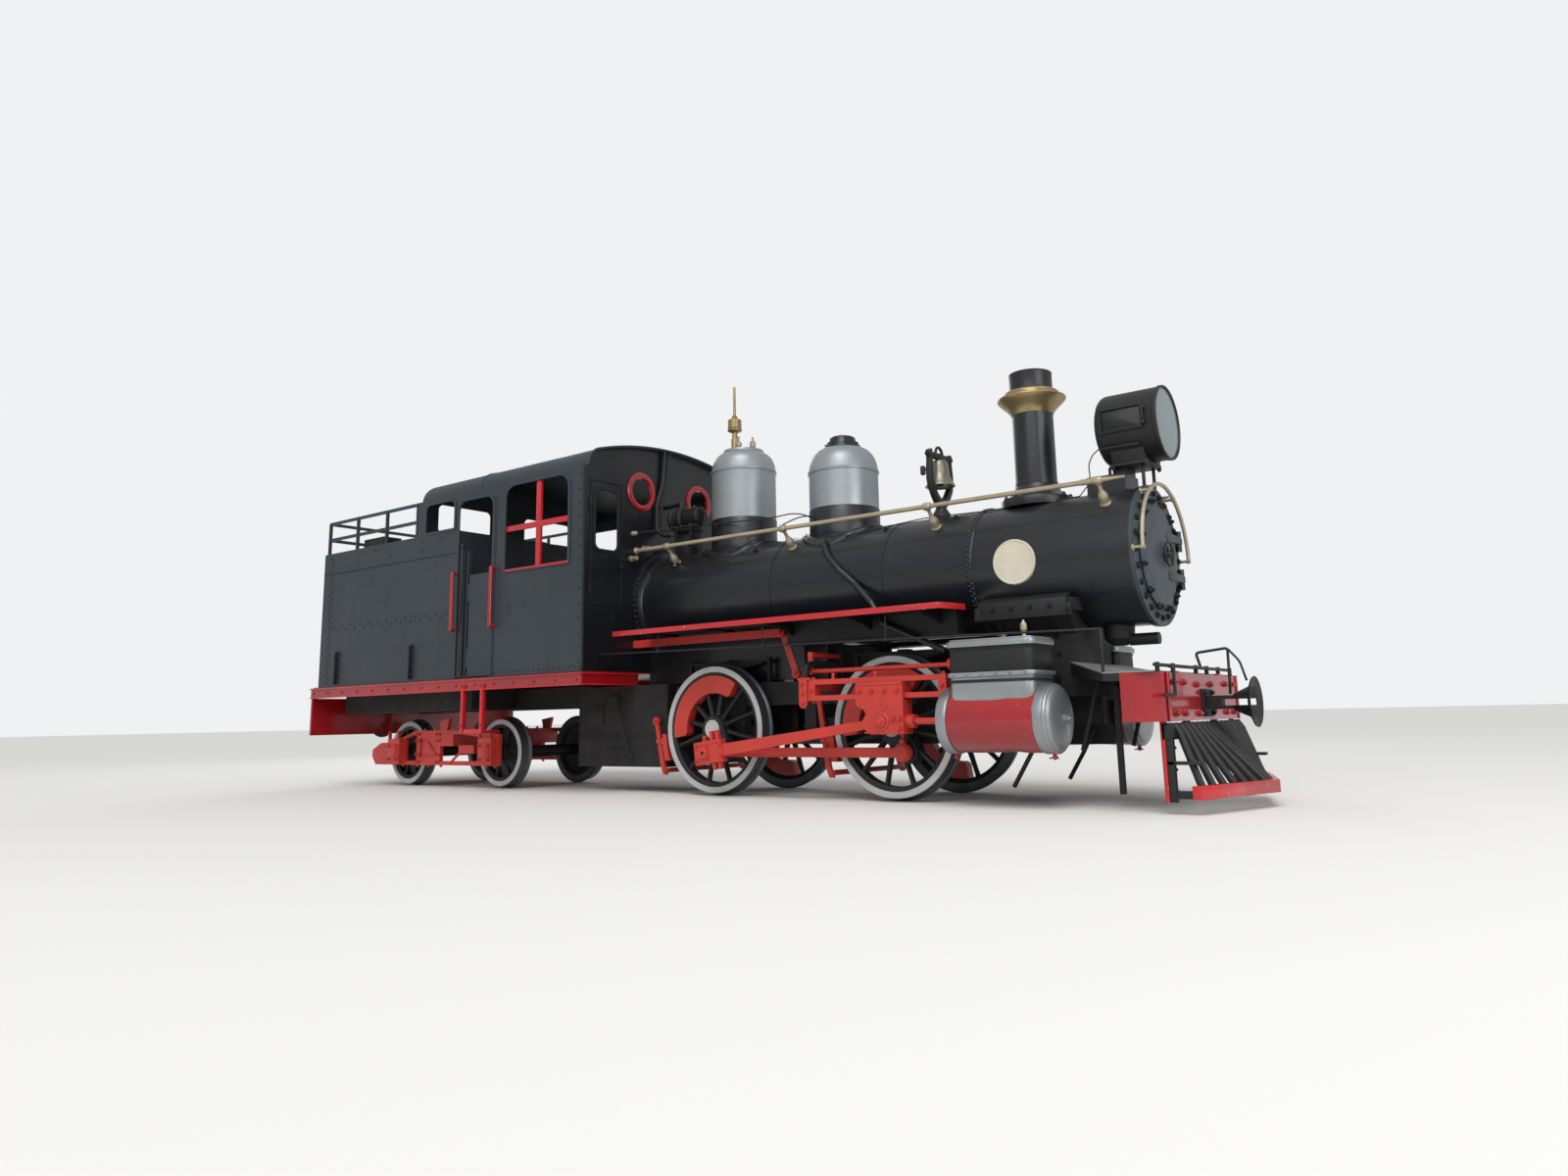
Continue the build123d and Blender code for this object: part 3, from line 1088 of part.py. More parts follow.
for i in range(pilot_bars):
    share = (i + 0.5) / pilot_bars * 2 - 1
    top = (pilot_top_x - 10, share * (pilot_top_y - 20), 520)
    foot_y = share * (pilot_corner_y - 30)
    foot_x = pilot_apex_x - (pilot_apex_x - pilot_corner_x) * abs(foot_y) / pilot_corner_y - 40
    pilot.append(strut(top, (foot_x, foot_y, 110), pilot_bar_radius))
keep("pilot", joined(pilot) - beam)

lever_x = beam_front_x - beam_plate / 2
lever_z = 990
lever = pin_y(lever_x, lever_z, 14, -700, 560)
for y in (-600, 400):
    lever += bar(lever_x - 12, lever_x + 12, y - 15, y + 15, beam_top_z, lever_z)
for y in (-700, 546):
    lever += bar(lever_x - 14, lever_x + 190, y - 8, y + 20, lever_z - 14, lever_z + 14)
lever += pin_z(lever_x + 180, -694, 12, 780, lever_z)
keep("uncoupling_lever", lever)

# Hopper under the smokebox front
hopper_x = smokebox_front_x - 331
hopper_top_z = boiler_z - smokebox_radius + 42
hopper = turned_z([(0, hopper_top_z), (120, hopper_top_z), (110, hopper_top_z - 130),
                   (60, hopper_top_z - 180), (0, hopper_top_z - 180)], hopper_x, 0)
hopper += pin_x(0, hopper_top_z - 140, 45, hopper_x + 80, hopper_x + 300)
hopper -= pin_x(0, boiler_z, smokebox_radius, hopper_x - 260, hopper_x + 440)
keep("cinder_hopper", hopper)

# Guard irons and struts at the front
irons = []
for sign in (-1, 1):
    irons.append(bar(3660, 3700, sign * 470, sign * 500, 70, 820))
    irons.append(bar(3640, 3700, sign * frame_y, sign * 500, 780, 820))
    irons.append(strut((3560, sign * 520, 850), (3420, sign * 520, 370), 16))
    irons.append(bar(3540, 3580, sign * frame_y, sign * 530, 838, 862))
keep("guard_irons", joined(irons))

# Well tanks on both sides of the frame's tail, under the bunker
wells = [bar(-4460, -4380, -tail_y - 20, tail_y + 20, tail_top_z + 10, skirt_top_z)]
for sign in (-1, 1):
    wells.append(bar(well_rear_x, well_front_x, sign * (tail_y + 10), sign * 900, well_bottom_z, skirt_top_z))
keep("well_tanks", joined(wells))

# Rear end
rear_beam = bar(skirt_rear_x, rear_plate_x, -cab_half_width, cab_half_width, 560, skirt_bottom_z)
rear_beam += bar(rear_plate_x, rear_plate_x + 75, -200, 200, 600, skirt_bottom_z)
keep("rear_beam", rear_beam)
rear_reach = skirt_rear_x - rear_coupler_x
rear_coupler = Pos(skirt_rear_x, 0, 0) * Rot(0, 0, 180) * bell_mouth_coupler(rear_reach)
keep("rear_coupler", rear_coupler)
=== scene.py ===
import bpy
import bmesh
from math import atan2, cos, degrees, exp, hypot, pi, radians, sin, sqrt
from mathutils import Matrix, Vector


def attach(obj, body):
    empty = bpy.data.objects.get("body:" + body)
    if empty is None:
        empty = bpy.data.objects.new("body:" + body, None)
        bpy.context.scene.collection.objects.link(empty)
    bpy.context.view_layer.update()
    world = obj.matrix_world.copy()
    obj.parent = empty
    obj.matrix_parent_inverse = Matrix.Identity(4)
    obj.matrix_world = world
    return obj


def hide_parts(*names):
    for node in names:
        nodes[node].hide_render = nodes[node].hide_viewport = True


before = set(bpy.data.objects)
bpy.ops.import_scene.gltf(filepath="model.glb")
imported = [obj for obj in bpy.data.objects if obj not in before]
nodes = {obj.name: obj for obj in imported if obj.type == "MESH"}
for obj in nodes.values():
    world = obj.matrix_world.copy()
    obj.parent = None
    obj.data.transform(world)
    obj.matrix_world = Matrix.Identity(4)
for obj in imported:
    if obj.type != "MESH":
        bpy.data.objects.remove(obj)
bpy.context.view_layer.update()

# Sizes of the locomotive in millimetres. X runs forward from the rear driving axle, Y to
# the left and Z up from the rail top, as on the drawing that the solids were made from.
middle_x = -770.5
flange_height = 26
driver_radius = 560
driver_base = 1885
driver_spokes = 12
truck_wheel_radius = 348
truck_axles = {"truck_axle_rear": -4639, "truck_axle_front": -2996}
tyre_thickness = 52
rim_depth = 38
wheel_outer_y = 604
wheel_inner_y = 468
crank_throw = 240
crank_angle = {"right": -57, "left": 33}
side_sign = {"right": -1, "left": 1}
coupling_outer_y = 688
main_rod_length = 1866
cylinder_y = 853
cylinder_z = 600
boiler_z = 1786
boiler_radius = 512
smokebox_radius = 518
cab_front_x = -1089
cab_half_width = 1200
eaves_z = 3060
roof_crown_z = 3400
bunker_rear_x = -5600
bunker_top_z = 2664
beam_front_x = 4154
beam_rear_x = -5735
coupler_z = 688
steam_dome_x = -100
sand_dome_x = 1084
stack_x = 2967
bell_x = 2085
bell_pivot_z = 2838
lamp_z = 2784

# Facings of fasteners and axes of turned shapes
right = (0, -1, 0)
front = (1, 0, 0)
back = (-1, 0, 0)
up = (0, 0, 1)
across = (0, 1, 0)


def at(x, y, z):
    """A place on the drawing, as metres in the shared frame."""
    return Vector(((x - middle_x) / 1000, y / 1000, (z + flange_height) / 1000))


# Materials
def tint(code):
    """An sRGB hex colour as linear red, green, blue and alpha."""
    shades = []
    for i in (0, 2, 4):
        level = int(code[i:i + 2], 16) / 255
        shades.append(level / 12.92 if level <= 0.04045 else ((level + 0.055) / 1.055) ** 2.4)
    return (*shades, 1.0)


def add(tree, kind, inputs=None, **settings):
    """Adds a node, sets its properties, and fills or links its inputs."""
    made = tree.nodes.new(kind)
    for name, value in settings.items():
        setattr(made, name, value)
    for socket, value in (inputs or {}).items():
        if isinstance(value, bpy.types.NodeSocket):
            tree.links.new(value, made.inputs[socket])
        else:
            made.inputs[socket].default_value = value
    return made


def bare_material(name):
    material = bpy.data.materials.new(name)
    material.use_nodes = True
    material.node_tree.nodes.clear()
    return material, material.node_tree


def painted_metal(name, colour, darker, chipped, dusty, roughness, metallic=0.0, coat=0.0, patch_mm=700,
        chip_mm=16, chips=0.0, dust=0.2, waves=0.0, streaks=0.0):
    """Brushed or sprayed paint on steel: uneven tone, chips, dust on top faces, rain streaks."""
    material, tree = bare_material(name)
    place = add(tree, "ShaderNodeTexCoord").outputs["Object"]
    patches = add(tree, "ShaderNodeTexNoise", {"Vector": place, "Scale": 1000 / patch_mm, "Detail": 5.0,
        "Roughness": 0.62})
    tall = add(tree, "ShaderNodeMapping", {"Vector": place, "Scale": (7.0, 7.0, 0.8)})
    runs = add(tree, "ShaderNodeTexNoise", {"Vector": tall.outputs[0], "Scale": 1.0, "Detail": 4.0})
    run_share = add(tree, "ShaderNodeMapRange", {"Value": runs.outputs[0], "From Min": 0.48,
        "From Max": 0.8, "To Min": 0.0, "To Max": streaks})
    tone = add(tree, "ShaderNodeMapRange", {"Value": patches.outputs[0], "From Min": 0.35, "From Max": 0.72,
        "To Min": 0.0, "To Max": 0.75})
    base = add(tree, "ShaderNodeMix", {0: tone.outputs[0], 6: tint(colour), 7: tint(darker)},
        data_type="RGBA")
    base = add(tree, "ShaderNodeMix", {0: run_share.outputs[0], 6: base.outputs[2], 7: tint(dusty)},
        data_type="RGBA")
    specks = add(tree, "ShaderNodeTexNoise", {"Vector": place, "Scale": 1000 / chip_mm, "Detail": 2.0,
        "Roughness": 0.7})
    chip_edge = 0.80 - chips * 0.22
    chip_share = add(tree, "ShaderNodeMapRange", {"Value": specks.outputs[0], "From Min": chip_edge,
        "From Max": chip_edge + 0.03})
    base = add(tree, "ShaderNodeMix", {0: chip_share.outputs[0], 6: base.outputs[2], 7: tint(chipped)},
        data_type="RGBA")
    facing = add(tree, "ShaderNodeSeparateXYZ", {0: add(tree, "ShaderNodeNewGeometry").outputs["Normal"]})
    upward = add(tree, "ShaderNodeMapRange", {"Value": facing.outputs[2], "From Min": 0.25,
        "From Max": 0.95, "To Min": 0.0, "To Max": dust})
    settled = add(tree, "ShaderNodeMath", {0: upward.outputs[0], 1: patches.outputs[0]},
        operation="MULTIPLY")
    base = add(tree, "ShaderNodeMix", {0: settled.outputs[0], 6: base.outputs[2], 7: tint(dusty)},
        data_type="RGBA")
    gloss = add(tree, "ShaderNodeMapRange", {"Value": patches.outputs[0], "From Min": 0.3, "From Max": 0.75,
        "To Min": roughness - 0.06, "To Max": roughness + 0.14})
    height = add(tree, "ShaderNodeTexNoise", {"Vector": place, "Scale": 1000 / 260, "Detail": 2.0})
    bump = add(tree, "ShaderNodeBump", {"Height": height.outputs[0], "Strength": 0.25 + waves,
        "Distance": 0.002 + 0.02 * waves})
    skin = add(tree, "ShaderNodeBump", {"Height": specks.outputs[0], "Strength": 0.12, "Distance": 0.001,
        "Normal": bump.outputs[0]})
    shader = add(tree, "ShaderNodeBsdfPrincipled", {"Base Color": base.outputs[2],
        "Roughness": gloss.outputs[0], "Metallic": metallic, "Coat Weight": coat, "Coat Roughness": 0.12,
        "Normal": skin.outputs[0]})
    add(tree, "ShaderNodeOutputMaterial", {"Surface": shader.outputs[0]})
    return material


# Satin enamel on the boiler lagging: soft long highlights, pale specks, brown dust on top
boiler_black = painted_metal("boiler_black_enamel", "0d1219", "090c12", "a5a39b", "45423f", 0.34,
    chips=0.22, chip_mm=24, dust=0.4, coat=0.2, waves=0.08)
# Thick semi-matt enamel on cast and forged iron: no shine except on edges
iron_black = painted_metal("iron_black_enamel", "131417", "0c0d0f", "3d3a37", "3b3733", 0.5, dust=0.35,
    patch_mm=300)
# Brown-black paint and road dirt below the footplate: dull and warm
under_black = painted_metal("dirty_black_enamel", "1a1919", "100f0f", "37322d", "453f39", 0.7, dust=0.4,
    patch_mm=260, streaks=0.1)
# Slate-grey enamel on flat plate: even colour with slow ripples of the plate
cab_slate = painted_metal("slate_grey_enamel", "2c343c", "242b32", "5d6266", "55554f", 0.44, dust=0.3,
    waves=0.2, patch_mm=1100, streaks=0.06)
# Red lead enamel on the rods and frames: slightly chalky orange-red
motion_red = painted_metal("chalky_red_enamel", "c2352a", "a82a22", "74261f", "8f4c3e", 0.4, dust=0.25,
    patch_mm=420, coat=0.1)
# Gloss crimson on thin sheet: bright, dented, with scuffs down to grey
gloss_red = painted_metal("gloss_crimson_enamel", "9f111a", "840b12", "c9a9a0", "8a3f3a", 0.2, coat=0.7,
    chips=0.15, chip_mm=30, dust=0.2, waves=0.4)
# Crimson edge strip, rubbed pale by boots
edge_red = painted_metal("rubbed_crimson_enamel", "c01c24", "a0151c", "dfae9f", "8f443d", 0.28, coat=0.3,
    chips=0.45, chip_mm=34, dust=0.2)
# Aluminium paint: pale warm grey with a broad soft sheen
aluminium_paint = painted_metal("aluminium_paint", "9aa1a5", "878e92", "7d7a74", "8f8a80", 0.36,
    metallic=0.55, dust=0.3, waves=0.1, patch_mm=500)
# Cylinder covers in aluminium paint, oily and a little darker
cover_silver = painted_metal("oily_aluminium_paint", "a0a5a8", "888d90", "6d665a", "706a60", 0.32,
    metallic=0.7, dust=0.2, waves=0.2, patch_mm=300)
# Weathered brass pipe, nearly cream where it has dulled
dull_brass = painted_metal("weathered_brass", "b3a78f", "948873", "6d5f49", "8a8172", 0.4, metallic=0.5,
    dust=0.2, patch_mm=180)
# Spun brass with polish left on the curves
polished_brass = painted_metal("spun_brass", "a38f6a", "83724f", "6a5c45", "857c68", 0.28, metallic=0.7,
    dust=0.15, patch_mm=160)
# Cast bell metal: grey-gold, satin
bell_metal = painted_metal("cast_bell_bronze", "8c8777", "716d5f", "5b5444", "746d60", 0.34, metallic=0.75,
    dust=0.2, patch_mm=140)
# Pale grey paint on the tyre faces, marked by the road
tyre_grey = painted_metal("tyre_face_grey", "b9bab9", "a2a3a2", "5f605f", "7f7c75", 0.55, chips=0.1,
    dust=0.2, patch_mm=160)
# Bare rolled steel of the treads: dark grey-blue, half dull
tread_steel = painted_metal("rolled_tread_steel", "5d646a", "474d52", "7f8387", "6a6258", 0.42,
    metallic=0.75, dust=0.2, patch_mm=120)
# Blank cast disc: cream paint over cast iron
plate_cream = painted_metal("cream_cast_plate", "cbc5b1", "b8b29e", "8d8878", "98917f", 0.6, dust=0.2,
    patch_mm=120)
# Grey deck plate, scuffed bright
deck_grey = painted_metal("scuffed_deck_plate", "8f9294", "75787a", "b4b4b2", "7d776d", 0.5, metallic=0.4,
    dust=0.4, chips=0.3, patch_mm=220)
# Dark grey-blue paint on the smokebox front
ring_grey = painted_metal("grey_blue_front_paint", "3d464d", "32393f", "7d8285", "5c5b56", 0.46, dust=0.25,
    patch_mm=240)
# Soot black with no shine at all: real soot in the chimney, and painted shade where it stands for the depth
# of the open chimney bore and of the rods' oil holes
soot_and_painted_shade = painted_metal("soot_and_painted_shade", "0b0b0b", "070707", "1a1a1a", "141414", 0.95, dust=0.0)


def smeared_glass(name, base, scale, detail, smooth, rough, through=0.0):
    """Glass with a sharp highlight that a film of smears dulls in patches."""
    material, tree = bare_material(name)
    place = add(tree, "ShaderNodeTexCoord").outputs["Object"]
    smears = add(tree, "ShaderNodeTexNoise", {"Vector": place, "Scale": scale, "Detail": detail})
    gloss = add(tree, "ShaderNodeMapRange", {"Value": smears.outputs[0], "To Min": smooth, "To Max": rough})
    shader = add(tree, "ShaderNodeBsdfPrincipled", {"Base Color": tint(base), "Roughness": gloss.outputs[0],
        "IOR": 1.5, "Transmission Weight": through})
    add(tree, "ShaderNodeOutputMaterial", {"Surface": shader.outputs[0]})
    return material


# Thick clear lens glass, slightly green from its iron, given a pale half-opaque colour: a painted
# reflection standing in for the silvered reflector behind it
lens_glass_painted_reflection = smeared_glass("lens_glass_painted_reflection", "a3b2b4", 9.0, 4.0, 0.03, 0.16, through=0.5)
# Dirty window glass, opaque black: painted shade standing in for the unlit inside of the lamp behind it;
# the smears are real dirt
dirty_pane_painted_shade = smeared_glass("dirty_glass_painted_shade", "07080a", 14.0, 5.0, 0.2, 0.5)


# Shapes: each gives (points in millimetres, faces)
box_faces = [(0, 1, 2, 3), (7, 6, 5, 4), (0, 4, 5, 1), (1, 5, 6, 2), (2, 6, 7, 3), (3, 7, 4, 0)]


def around(count, radius, start=0.0):
    """Offsets (cosine, sine) of places spaced evenly round a circle."""
    turns = [start + 2 * pi * i / count for i in range(count)]
    return [(radius * cos(t), radius * sin(t)) for t in turns]


def bulge(along, rise, rim, crown, first, last, parts):
    """Part of a turned profile: a quarter ellipse from the rim in to the crown."""
    turns = [pi / 2 * i / parts for i in range(first, last + 1)]
    return [(along + rise * sin(t), crown + (rim - crown) * cos(t)) for t in turns]


def block(x0, x1, y0, y1, z0, z1):
    points = [(x, y, z) for x in (x0, x1) for y in (y0, y1) for z in (z0, z1)]
    faces = [(0, 1, 3, 2), (4, 6, 7, 5), (0, 4, 5, 1), (2, 3, 7, 6), (0, 2, 6, 4), (1, 5, 7, 3)]
    return points, faces


def swept(outline, start, end, plane):
    """A flat outline given in one plane ("xz", "yz" or "xy") and pushed along the third axis."""
    third = "xyz".index(({"x", "y", "z"} - set(plane)).pop())
    first, second = ("xyz".index(letter) for letter in plane)
    points = []
    for level in (start, end):
        for a, b in outline:
            place = [0, 0, 0]
            place[first], place[second], place[third] = a, b, level
            points.append(tuple(place))
    count = len(outline)
    faces = [tuple(range(count)), tuple(range(count, 2 * count))]
    faces += [(i, (i + 1) % count, count + (i + 1) % count, count + i) for i in range(count)]
    return points, faces


def slab(corners, shift):
    """A flat plate: four corners, and how far its other face lies away."""
    points = list(corners) + [tuple(a + b for a, b in zip(corner, shift)) for corner in corners]
    return points, box_faces


def turned(profile, centre, axis, steps=64):
    """A closed profile of (along, radius) turned round an axis through centre."""
    along = Vector(axis).normalized()
    first = along.orthogonal().normalized()
    second = along.cross(first)
    centre = Vector(centre)
    points, rings = [], []
    for step, radius in profile:
        if radius < 0.01:
            rings.append([len(points)])
            points.append(tuple(centre + along * step))
            continue
        rings.append(list(range(len(points), len(points) + steps)))
        for i in range(steps):
            turn = 2 * pi * i / steps
            out = first * cos(turn) + second * sin(turn)
            points.append(tuple(centre + along * step + out * radius))
    faces = []
    closed = len(rings[0]) > 1 and len(rings[-1]) > 1
    pairs = list(zip(rings, rings[1:])) + ([(rings[-1], rings[0])] if closed else [])
    for low, high in pairs:
        for i in range(steps):
            j = (i + 1) % steps
            if len(low) == 1 and len(high) == 1:
                continue
            if len(low) == 1:
                faces.append((low[0], high[i], high[j]))
            elif len(high) == 1:
                faces.append((low[i], low[j], high[0]))
            else:
                faces.append((low[i], low[j], high[j], high[i]))
    return points, faces


def rounded(points, radius, steps=5):
    """Points of a path with its inner corners rounded."""
    path = [Vector(p) for p in points]
    made = [path[0]]
    for before, corner, after in zip(path, path[1:], path[2:]):
        into, out = before - corner, after - corner
        reach = min(radius, into.length * 0.45, out.length * 0.45)
        a = corner + into.normalized() * reach
        b = corner + out.normalized() * reach
        for i in range(steps + 1):
            share = i / steps
            made.append(a.lerp(corner, share).lerp(corner.lerp(b, share), share))
    made.append(path[-1])
    return made


def pipe(points, radius, sides=12):
    """A round bar or pipe along a path, flat at its ends."""
    path = [Vector(p) for p in points]
    made, faces = [], []
    normal = None
    for i, place in enumerate(path):
        ahead = path[min(i + 1, len(path) - 1)] - path[max(i - 1, 0)]
        ahead.normalize()
        if normal is None:
            normal = ahead.orthogonal().normalized()
        normal = (normal - ahead * normal.dot(ahead)).normalized()
        other = ahead.cross(normal)
        for k in range(sides):
            turn = 2 * pi * k / sides
            made.append(tuple(place + (normal * cos(turn) + other * sin(turn)) * radius))
    for i in range(len(path) - 1):
        for k in range(sides):
            j = (k + 1) % sides
            faces.append((i * sides + k, i * sides + j, (i + 1) * sides + j, (i + 1) * sides + k))
    faces.append(tuple(range(sides)))
    last = (len(path) - 1) * sides
    faces.append(tuple(last + k for k in range(sides)))
    return made, faces


def mirrored(shape):
    points, faces = shape
    return [(x, -y, z) for x, y, z in points], faces


def shade(mesh, degrees):
    """Smooth shading, with edges sharper than the angle kept."""
    mesh.shade_smooth()
    mesh.set_sharp_from_angle(angle=radians(degrees))


def piece(name, finishes, shapes, bevel=0.0, replaces=(), body="chassis"):
    """Joins shapes, each with the number of its finish, into one mesh that rides on a body."""
    finishes = finishes if isinstance(finishes, (list, tuple)) else [finishes]
    points, faces, slots = [], [], []
    for entry in shapes:
        shape, slot = entry if isinstance(entry[1], int) else (entry, 0)
        base = len(points)
        points += [at(*p) for p in shape[0]]
        faces += [tuple(base + i for i in face) for face in shape[1]]
        slots += [slot] * len(shape[1])
    mesh = bpy.data.meshes.new(name)
    mesh.from_pydata(points, [], faces)
    for finish in finishes:
        mesh.materials.append(finish)
    mesh.polygons.foreach_set("material_index", slots)
    work = bmesh.new()
    work.from_mesh(mesh)
    bmesh.ops.remove_doubles(work, verts=work.verts, dist=0.00001)
    bmesh.ops.recalc_face_normals(work, faces=work.faces)
    work.to_mesh(mesh)
    work.free()
    made = bpy.data.objects.new(name, mesh)
    bpy.context.scene.collection.objects.link(made)
    if bevel:
        modifier = made.modifiers.new("edge", "BEVEL")
        modifier.width = bevel / 1000
        modifier.segments = 2
        modifier.limit_method = "ANGLE"
        modifier.angle_limit = radians(35)
        bake_modifiers(made)
    shade(made.data, 32)
    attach(made, body)
    if replaces:
        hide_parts(*replaces)


def bake_modifiers(made):
    """Turns what the modifiers give into the piece's own mesh."""
    graph = bpy.context.evaluated_depsgraph_get()
    solid = bpy.data.meshes.new_from_object(made.evaluated_get(graph))
    made.modifiers.clear()
    made.data = solid


# Rows of rivets and bolts, made by Geometry Nodes on a mesh of bare points
def fastener_tree(name, hexagonal):
    """Puts a round or six-sided head on every point, standing along its "facing"."""
    tree = bpy.data.node_groups.new(name, "GeometryNodeTree")
    tree.interface.new_socket("Points", in_out="INPUT", socket_type="NodeSocketGeometry")
    for label, value in (("Head width", 0.03), ("Head height", 0.012)):
        socket = tree.interface.new_socket(label, in_out="INPUT", socket_type="NodeSocketFloat")
        socket.default_value = value
    tree.interface.new_socket("Finish", in_out="INPUT", socket_type="NodeSocketMaterial")
    tree.interface.new_socket("Heads", in_out="OUTPUT", socket_type="NodeSocketGeometry")
    given = add(tree, "NodeGroupInput")
    width, height = given.outputs["Head width"], given.outputs["Head height"]
    half = add(tree, "ShaderNodeMath", {0: width, 1: 0.5}, operation="MULTIPLY")
    if hexagonal:
        nut = add(tree, "GeometryNodeMeshCylinder", {"Vertices": 6, "Radius": half.outputs[0],
            "Depth": height})
        wide = add(tree, "ShaderNodeMath", {0: half.outputs[0], 1: 1.35}, operation="MULTIPLY")
        thin = add(tree, "ShaderNodeMath", {0: height, 1: 0.35}, operation="MULTIPLY")
        washer = add(tree, "GeometryNodeMeshCylinder", {"Vertices": 12, "Radius": wide.outputs[0],
            "Depth": thin.outputs[0]})
        lift = add(tree, "ShaderNodeMath", {0: height, 1: 0.6}, operation="MULTIPLY")
        raised = add(tree, "ShaderNodeCombineXYZ", {2: lift.outputs[0]})
        raised_nut = add(tree, "GeometryNodeTransform", {0: nut.outputs[0],
            "Translation": raised.outputs[0]})
        stud_half = add(tree, "ShaderNodeMath", {0: half.outputs[0], 1: 0.45}, operation="MULTIPLY")
        stud = add(tree, "GeometryNodeMeshCylinder", {"Vertices": 8, "Radius": stud_half.outputs[0],
            "Depth": height})
        stud_lift = add(tree, "ShaderNodeCombineXYZ", {2: height})
        tip = add(tree, "GeometryNodeTransform", {0: stud.outputs[0], "Translation": stud_lift.outputs[0]})
        head = add(tree, "GeometryNodeJoinGeometry")
        for part in (washer.outputs[0], raised_nut.outputs[0], tip.outputs[0]):
            tree.links.new(part, head.inputs[0])
        form = head.outputs[0]
    else:
        dome = add(tree, "GeometryNodeMeshUVSphere", {"Segments": 10, "Rings": 6, "Radius": 1.0})
        size = add(tree, "ShaderNodeCombineXYZ", {0: half.outputs[0], 1: half.outputs[0], 2: height})
        form = add(tree, "GeometryNodeTransform", {0: dome.outputs[0], "Scale": size.outputs[0]}).outputs[0]
    facing = add(tree, "GeometryNodeInputNamedAttribute", {"Name": "facing"}, data_type="FLOAT_VECTOR")
    turn = add(tree, "FunctionNodeAlignRotationToVector", {"Vector": facing.outputs[0]}, axis="Z")
    placed = add(tree, "GeometryNodeInstanceOnPoints", {"Points": given.outputs["Points"], "Instance": form,
        "Rotation": turn.outputs[0]})
    real = add(tree, "GeometryNodeRealizeInstances", {0: placed.outputs[0]})
    coloured = add(tree, "GeometryNodeSetMaterial", {"Geometry": real.outputs[0],
        "Material": given.outputs["Finish"]})
    add(tree, "NodeGroupOutput", {0: coloured.outputs[0]})
    return tree


rivet_heads = fastener_tree("rivet_heads", False)
bolt_heads = fastener_tree("bolt_heads", True)


def heads(name, tree, finish, width, height, places, body):
    """One mesh of fastener heads of a size in millimetres; places hold a point and a facing."""
    mesh = bpy.data.meshes.new(name)
    mesh.from_pydata([at(*p[:3]) for p in places], [], [])
    facing = mesh.attributes.new("facing", "FLOAT_VECTOR", "POINT")
    facing.data.foreach_set("vector", [v for p in places for v in p[3:6]])
    made = bpy.data.objects.new(name, mesh)
    bpy.context.scene.collection.objects.link(made)
    modifier = made.modifiers.new("heads", "NODES")
    modifier.node_group = tree
    values = {"Head width": width / 1000, "Head height": height / 1000, "Finish": finish}
    for item in tree.interface.items_tree:
        if item.name in values:
            modifier[item.identifier] = values[item.name]
    bake_modifiers(made)
    shade(made.data, 40)
    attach(made, body)


def rivets(name, finish, width, height, places, body="chassis"):
    heads(name, rivet_heads, finish, width, height, places, body)


def bolts(name, finish, width, height, places, body="chassis"):
    heads(name, bolt_heads, finish, width, height, places, body)


def row(start, end, count, facing):
    a, b = Vector(start), Vector(end)
    return [(*a.lerp(b, i / max(count - 1, 1)), *facing) for i in range(count)]


def both_sides(places):
    return places + [(x, -y, z, fx, -fy, fz) for x, y, z, fx, fy, fz in places]


def hoop(x, radius, first, last, count):
    """Places round the boiler, from straight up (0) towards the left (90)."""
    made = []
    for i in range(count):
        turn = radians(first + (last - first) * i / max(count - 1, 1))
        out = (0, sin(turn), cos(turn))
        made.append((x, radius * out[1], boiler_z + radius * out[2], *out))
    return made


# Wheels
def tyre_shapes(x, radius, sign):
    """Tyre with flange, its pale face ring and the dark rim inside it."""
    z, face, back = radius, wheel_outer_y, wheel_inner_y
    inner = radius - tyre_thickness
    tread = [(face - 6, radius - 0.5), (face - 12, radius), (back + 40, radius), (back + 30, radius + 5),
        (back + 22, radius + 20), (back + 12, radius + 26), (back + 4, radius + 18), (back, radius + 4),
        (back, inner), (face - 10, inner)]
    pale = [(face - 12, inner), (face - 12, radius - 1), (face - 6, radius - 0.5), (face - 1, radius - 5),
        (face, radius - 9), (face, inner + 3), (face - 4, inner)]
    rim = [(back + 4, inner + 1), (face - 10, inner + 1), (face - 10, inner - 8),
        (face - 22, inner - rim_depth), (back + 24, inner - rim_depth), (back + 8, inner - 12)]
    made = []
    for profile, slot in ((tread, 0), (pale, 1), (rim, 2)):
        made.append((turned([(sign * y, r) for y, r in profile], (x, 0, z), across, 96), slot))
    return made


def spoke(x, z, y, turn, start, end, root, tip):
    """A tapered oval spoke along a radius, in the wheel's plane."""
    points, faces, sides = [], [], 12
    steps = (0.0, 0.06, 0.2, 0.8, 0.94, 1.0)
    for share in steps:
        distance = start + (end - start) * share
        flare = 1.0 + 1.1 * max(0.0, 1 - share / 0.12) ** 2 + 0.9 * max(0.0, 1 - (1 - share) / 0.1) ** 2
        wide = (root[0] + (tip[0] - root[0]) * share) * flare
        deep = root[1] + (tip[1] - root[1]) * share
        for k in range(sides):
            a = 2 * pi * k / sides
            beside = wide * cos(a)
            points.append((x + distance * cos(turn) - beside * sin(turn), y + deep * sin(a),
                z + distance * sin(turn) + beside * cos(turn)))
    for i in range(len(steps) - 1):
        for k in range(sides):
            j = (k + 1) % sides
            faces.append((i * sides + k, i * sides + j, (i + 1) * sides + j, (i + 1) * sides + k))
    faces.append(tuple(range(sides)))
    faces.append(tuple((len(steps) - 1) * sides + k for k in range(sides)))
    return points, faces


